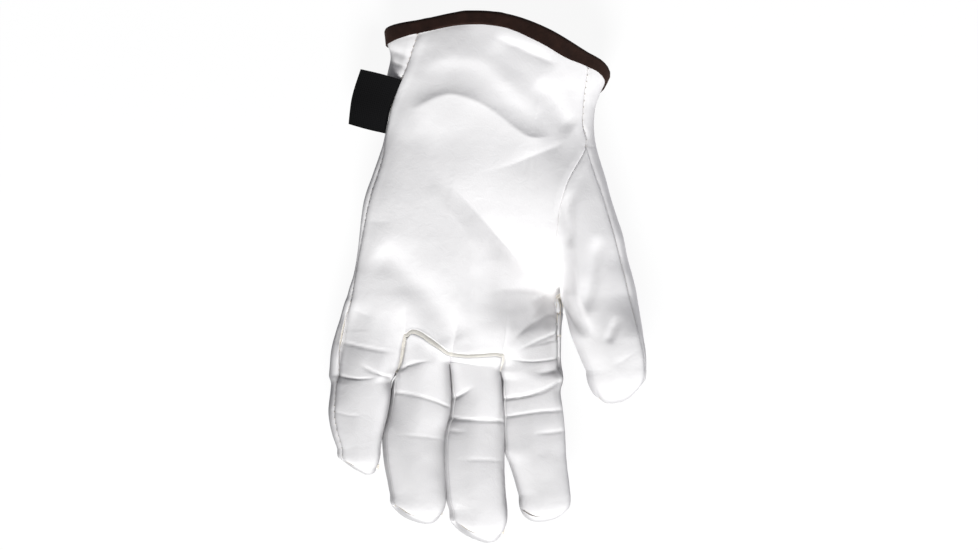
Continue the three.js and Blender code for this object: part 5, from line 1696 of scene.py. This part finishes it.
class GLOVE_OT_label(bpy.types.Operator):
    """Bare black ribbon label in the left seam"""

    bl_idname = "glove.label"
    bl_label = "Side label"

    def execute(self, context):
        colour = context.scene.glove_colours.label
        ribbon = woven_ribbon("woven_polyester_ribbon", toned(colour), toned(colour, 0.35))
        piece = side_label(current_net(), ribbon)
        own(piece, "ribbon", "label_tag")
        return {"FINISHED"}


class GLOVE_OT_thread(bpy.types.Operator):
    """Stitches across the sewn seams"""

    bl_idname = "glove.thread"
    bl_label = "Thread"

    def execute(self, context):
        thread = spun_thread("spun_polyester_thread", linear(THREAD_TONES[0]), linear(THREAD_TONES[1]))
        points, faces = seam_stitches(current_net())
        piece = make_mesh("seam_stitches", points, [(faces, 0)], [thread])
        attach(piece, "root")
        return {"FINISHED"}


class GLOVE_OT_stage(bpy.types.Operator):
    """Pale floor, soft studio lights and the camera over the glove"""

    bl_idname = "glove.stage"
    bl_label = "Studio stage"

    def execute(self, context):
        make_stage(context.scene)
        return {"FINISHED"}


class GLOVE_PT_sidebar(bpy.types.Panel):
    """Lists the glove's pieces"""

    bl_idname = "GLOVE_PT_sidebar"
    bl_label = "Glove"
    bl_space_type = "VIEW_3D"
    bl_region_type = "UI"
    bl_category = "Glove"

    def draw(self, context):
        column = self.layout.column()
        for operator in OPERATORS:
            column.operator(operator.bl_idname)
        for key in ("palm", "back", "welt", "binding", "label"):
            column.prop(context.scene.glove_colours, key)
        for key in ("key", "fill", "sky"):
            column.prop(context.scene.glove_light, key)


# Cuff binding

def binding_profile():
    """Outline of the strip's section, as (along the wall, out of the wall): two legs and a round
    fold, its outer corners rounded, the pocket between the legs holding the wall."""
    leg, thick, gap = BINDING["leg"], BINDING["thick"], BINDING["gap"]
    inner_side = -WALL - gap
    top, bottom = gap + thick, inner_side - thick
    middle, radius = (top + bottom) / 2, (top - bottom) / 2
    turn = np.radians(np.linspace(90, 270, 13))
    past = np.cos(turn) * radius * BINDING["round"]
    fold_edge = np.stack([past + gap, middle + np.sin(turn) * radius], axis=1)
    lip = np.radians(np.linspace(0, 90, 4))
    straight = leg - BINDING["lip"]
    lip_out, lip_up = straight + BINDING["lip"] * np.cos(lip), BINDING["lip"] * (np.sin(lip) - 1)
    edge_top = np.stack([lip_out, top + lip_up], axis=1)
    edge_bottom = np.stack([lip_out, bottom - lip_up], axis=1)[::-1]
    outer = np.stack([np.linspace(straight, gap, 8)[1:-1], np.full(6, top)], axis=1)
    under = np.stack([np.linspace(gap, straight, 8)[1:-1], np.full(6, bottom)], axis=1)
    floor = -BINDING["deeper"]
    pocket = np.array([(leg, inner_side), (floor, inner_side), (floor, gap), (leg, gap)])
    return np.concatenate([edge_top, outer, fold_edge, under, edge_bottom, pocket])


def binding_widening(x):
    """How much wider the outer leg is at each x."""
    to = BINDING_SPREAD
    share = smooth((np.abs(x - to["centre"]) - to["flat"]) / to["over"])
    return lerp(to["least"], to["most"], share * (1 - smooth((x - to["back_from"]) / to["back_over"])))


def cuff_binding(net):
    """The profile carried round the cuff on frames that look down the wall, with small puckers
    and an uneven lower edge."""
    edge = net["lines"]["cuff"]
    inside = net["lines"]["cuff_next"]
    side = unit(inside - edge)
    along = unit(np.roll(edge, -1, axis=0) - np.roll(edge, 1, axis=0))
    up = unit(np.cross(along, side))
    middle = edge.mean(axis=0)
    up = np.where(((edge - middle) * up).sum(1, keepdims=True) < 0, -up, up)
    for _ in range(3):
        up = unit(np.roll(up, 1, axis=0) + 2 * up + np.roll(up, -1, axis=0))
        side = unit(np.roll(side, 1, axis=0) + 2 * side + np.roll(side, -1, axis=0))
    profile = np.repeat(binding_profile()[None], len(edge), axis=0)
    outside = profile[..., 1] > 0.2
    places = carried(edge, side, up, profile)
    faces = uneven(places, *BINDING_WAVES["face"]) + uneven(places, *BINDING_WAVES["nap"])
    profile[..., 1] += np.where(outside, faces, 0)
    wider = binding_widening(edge[:, 0])[:, None]
    profile[..., 0] = np.where(outside & (profile[..., 0] > 0), profile[..., 0] * wider, profile[..., 0])
    far = smooth(profile[..., 0] / BINDING["leg"]) * outside
    profile[..., 0] += far * uneven(edge, *BINDING_WAVES["edge"])[:, None]
    pucker = np.maximum(0, uneven(edge, *BINDING_WAVES["fold"]))[:, None]
    profile[..., 0] -= (1 - smooth(profile[..., 0] / 2)) * pucker
    return sweep(edge, side, up, profile, True)


# Welt

def nearest_index(points, targets):
    """Number of the nearest point to each target, in chunks of targets."""
    found = np.empty(len(targets), int)
    for i in range(0, len(targets), 64):
        part = targets[i:i + 64]
        low, high = part.min(0) - 4, part.max(0) + 4
        near = np.flatnonzero(np.all((points > low) & (points < high), axis=1))
        gap = ((points[near][None] - part[:, None]) ** 2).sum(-1)
        found[i:i + 64] = near[gap.argmin(1)]
    return found


def on_surface(net, line):
    """A line of the drawing's net moved onto the folded surface, with the surface's normals."""
    flat = net["flat_points"]
    index = nearest_index(flat, line)
    return net["under"][index], net["under_normals"][index]


def softened(values, rounds):
    """Each value mixed with its neighbours, the ends kept."""
    for _ in range(rounds):
        values[1:-1] = (values[:-2] + 2 * values[1:-1] + values[2:]) / 4
    return values


def finger_welt(net):
    """A slightly crowned strip along the welt line, as wide as the gap there, its edges tucked
    under the leather."""
    line, _ = on_surface(net, net["lines"]["welt"])
    line = softened(spread(line, 171), 4)
    normals = net["under_normals"][nearest_index(net["under"], line)]
    normals = unit(softened(normals, 8))
    along = unit(np.gradient(line, axis=0))
    normals = unit(normals - along * (normals * along).sum(1, keepdims=True))
    side = np.cross(along, normals)
    half = welt_width(np.linspace(0, 1, len(line))) / 2 + WELT["tuck"]
    top, bottom = np.linspace(-1, 1, 13), np.linspace(1, -1, 9)[1:-1]
    across = np.concatenate([top, bottom])
    high = np.concatenate([WELT["crown"] * (1 - top ** 2) - WELT["edge"], np.full(7, -WELT["thick"])])
    narrow = (half / half.max())[:, None]
    profile = np.stack(np.broadcast_arrays(half[:, None] * across, high * lerp(0.5, 1, narrow)), axis=-1)
    places = carried(line, side, normals, profile)
    profile[..., 1] += np.where(high > -0.5, uneven(places, *WELT["wave"]), 0)
    return sweep(line, side, normals, profile, False)


# Label

LABEL_REACH = (LABEL["reach_top"] + LABEL["reach_end"]) / 2


def ribbon_line():
    """The folded ribbon across its length: how far out it is as a share of the reach, and its lift
    in thicknesses, out along the top, round the fold and back below."""
    out = np.linspace(0, 1, 30)
    turn = np.radians(np.linspace(90, -90, 9))[1:-1]
    shares = np.concatenate([out, np.ones(7), out[::-1]])
    past = np.concatenate([np.zeros(30), np.cos(turn), np.zeros(30)])
    lifts = np.concatenate([np.ones(30), np.sin(turn), -np.ones(30)])
    return shares, past, lifts


def ribbon_sheet(net):
    """Middle surface of the folded ribbon, and the y of its rows along the seam: out from the
    seam with a sag, round a small fold and back below."""
    seam = net["lines"]["left"]
    order = np.argsort(seam[:, 1])
    down = np.linspace(0, 1, 37)
    ys = lerp(LABEL["y_top"], LABEL["y_end"], down)
    start = np.stack([np.interp(ys, seam[order, 1], seam[order, i]) for i in range(3)], axis=1)
    index = nearest_index(net["flat_points"], start)
    normal = unit(softened(net["under_normals"][index], 12))
    rise = softened(net["under"][index], 6) + normal * LABEL["clear"]
    reach = lerp(LABEL["reach_top"], LABEL["reach_end"], down)[:, None]
    deep = LABEL["deep"]
    gap = LABEL["thick"] * LABEL["fold"]
    shares, past, lifts = ribbon_line()
    out = lerp(-deep, reach - gap, shares) + past * gap
    t = np.clip(out / reach, 0, 1)
    wave = np.sin(math.pi * down)[:, None]
    sheet = rise[:, None] + out[..., None] * LABEL_DIRECTION
    sheet[..., 2] += lifts * gap - LABEL["sag"] * t ** 2 - LABEL["wave"] * wave * t
    sheet[..., 2] -= smooth(-out / deep + 0.2) * LABEL["clear"]
    sheet[..., 1] += LABEL["shift"] * np.sin(math.pi * t) * np.cos(math.pi * down)[:, None]
    return sheet, ys


def side_label(net, material):
    """The ribbon's sheet given its thickness along its own normal. Its map holds metres along and
    across the ribbon."""
    sheet, ys = ribbon_sheet(net)
    face = unit(np.cross(np.gradient(sheet, axis=1), np.gradient(sheet, axis=0)))
    rows, size = sheet.shape[:2]
    half = face * LABEL["thick"] / 2
    points = np.concatenate([(sheet + half).reshape(-1, 3), (sheet - half).reshape(-1, 3)])
    cells = grid_cells(rows, size)
    count = rows * size
    ring = np.concatenate([
        np.arange(size - 1), (np.arange(rows - 1) + 1) * size - 1,
        (rows * size - 1) - np.arange(size - 1), (rows - 1 - np.arange(rows - 1)) * size,
    ])
    after = np.roll(ring, -1)
    walls = np.stack([ring, after, after + count, ring + count], axis=1)
    faces, _ = triangles_of(points, np.concatenate([cells, cells[:, ::-1] + count, walls[:, ::-1]]))
    faces = outward(points, faces)
    piece = make_mesh("label_ribbon", points, [(faces, 0)], [material])
    travel = np.linspace(0, 2 * (LABEL_REACH + LABEL["deep"]), size)
    maps = np.stack(np.meshgrid(ys * MM, travel * MM, indexing="ij"), axis=-1).reshape(-1, 2)
    maps = np.concatenate([maps, maps])
    layer = piece.data.uv_layers.new(name="weave")
    layer.data.foreach_set("uv", maps[faces.reshape(-1)].astype(np.float32).ravel())
    return piece


# Thread

def stitch_form():
    """A short round-ended thread along x: rings of six points, wider in the middle."""
    x = np.linspace(-1, 1, 7)
    radius = np.sqrt(np.clip(1 - np.abs(x) ** 3, 0.02, 1))
    turn = np.radians(np.arange(6) * 60)
    ring = np.stack([np.cos(turn), np.sin(turn)], axis=1)
    return x, radius, ring


def stitch_frames(net, line):
    """Places at the stitch's pitch along a seam, with its direction and the surface's normal."""
    line, _ = on_surface(net, line)
    count = max(5, int(lengths_along(line)[-1] / STITCH["pitch"]))
    places = spread(line, count)[1:-1]
    along = unit(np.gradient(places, axis=0))
    return places, along, net["under_normals"][nearest_index(net["under"], places)]


def seam_stitches(net):
    """One short thread across each sewn seam at every pitch: the same form set at points spaced
    along the seams, its ends sunk into the leather on both sides."""
    frames = [stitch_frames(net, line) for line in net["lines"]["stitched"]]
    middle, along, normal = (np.concatenate(parts) for parts in zip(*frames))
    side = unit(np.cross(along, normal) + STITCH["slant"] * along)
    middle = middle - normal * STITCH["sunk"]
    third = np.cross(side, normal)
    x, radius, ring = stitch_form()
    out = (x * STITCH["reach"])[:, None, None]
    round_thread = (STITCH["thick"] / 2 * radius)[:, None, None] * ring
    up = (-STITCH["dip"] * x ** 2)[:, None, None] + round_thread[..., 0:1]
    aside = round_thread[..., 1:2]
    place = middle[:, None, None] + side[:, None, None] * out
    place = place + normal[:, None, None] * up + third[:, None, None] * aside
    count, rows, size = place.shape[:3]
    caps = np.array([[0, 1, 2, 3], [0, 3, 4, 5]])
    cells = np.concatenate([grid_cells(rows, size, True), caps, caps[:, ::-1] + (rows - 1) * size])
    cells = (cells[None] + (np.arange(count) * rows * size)[:, None, None]).reshape(-1, 4)
    points = place.reshape(-1, 3)
    faces, _ = triangles_of(points, cells)
    return points, outward(points, faces)


# Stage

def aim(item, target):
    """Turns an object's -Z towards a point."""
    direction = np.array(target) - np.array(item.location)
    tilt = math.atan2(math.hypot(direction[0], direction[1]), -direction[2])
    item.rotation_euler = (tilt, 0, math.atan2(direction[1], direction[0]) - math.pi / 2)


def area_light(scene, name, power, place, size, colour):
    """A soft rectangular light that points at the glove."""
    light = bpy.data.lights.new(name, "AREA")
    light.shape = "RECTANGLE"
    light.size, light.size_y = size
    light.energy = power
    light.color = linear(colour)[:3]
    item = bpy.data.objects.new(name, light)
    item.location = place
    scene.collection.objects.link(item)
    aim(item, (0, 0, 0))


def add_camera(scene):
    """The photograph's view from straight above, in scale at IN_SCALE_HEIGHT."""
    camera = bpy.data.cameras.new("camera")
    camera.sensor_width = SENSOR_MM
    camera.lens = SENSOR_MM * (CAMERA_HEIGHT - IN_SCALE_HEIGHT) / (PHOTO_SIZE[0] * PIXEL_MM)
    camera.clip_start, camera.clip_end = 0.1, 50
    item = bpy.data.objects.new("camera", camera)
    x, y = PHOTO_SIZE[0] / 2 - PHOTO_ZERO[0], PHOTO_ZERO[1] - PHOTO_SIZE[1] / 2
    item.location = to_frame([x * PIXEL_MM, y * PIXEL_MM, CAMERA_HEIGHT])
    scene.collection.objects.link(item)
    scene.camera = item


def make_stage(scene):
    """Floor, lights and camera."""
    settings = scene.glove_light
    mesh = bpy.data.meshes.new("floor")
    near, far = -FLOOR_HALF, FLOOR_HALF
    corners = [(near, near, 0), (far, near, 0), (far, far, 0), (near, far, 0)]
    mesh.from_pydata(corners, [], [(0, 1, 2, 3)])
    floor = bpy.data.objects.new("floor", mesh)
    scene.collection.objects.link(floor)
    mesh.materials.append(painted_floor("lit_white_floor", linear(FLOOR_TONE), FLOOR_GLOW))
    floor.visible_diffuse = False
    for name, place, size, colour in LIGHTS:
        area_light(scene, f"{name}_light", getattr(settings, name), place, size, colour)
    world = bpy.data.worlds.new("studio")
    world.use_nodes = True
    sky = world.node_tree.nodes["Background"]
    sky.inputs["Color"].default_value = linear(SKY_TONE)
    sky.inputs["Strength"].default_value = settings.sky
    scene.world = world
    add_camera(scene)
    scene.view_settings.view_transform = "Standard"
    scene.view_settings.look = "None"


OPERATORS = (
    GLOVE_OT_stage, GLOVE_OT_panels, GLOVE_OT_binding, GLOVE_OT_welt, GLOVE_OT_label, GLOVE_OT_thread,
)
CLASSES = (GloveColours, GloveLight, *OPERATORS, GLOVE_PT_sidebar)


def register():
    for item in CLASSES:
        bpy.utils.register_class(item)
    bpy.types.Scene.glove_colours = bpy.props.PointerProperty(type=GloveColours)
    bpy.types.Scene.glove_light = bpy.props.PointerProperty(type=GloveLight)


def unregister():
    del bpy.types.Scene.glove_light
    del bpy.types.Scene.glove_colours
    for item in reversed(CLASSES):
        bpy.utils.unregister_class(item)


def main():
    """Builds every piece in order."""
    register()
    bpy.ops.glove.stage()
    bpy.ops.glove.panels()
    bpy.ops.glove.binding()
    bpy.ops.glove.welt()
    bpy.ops.glove.label()
    bpy.ops.glove.thread()


if __name__ == "__main__":
    main()
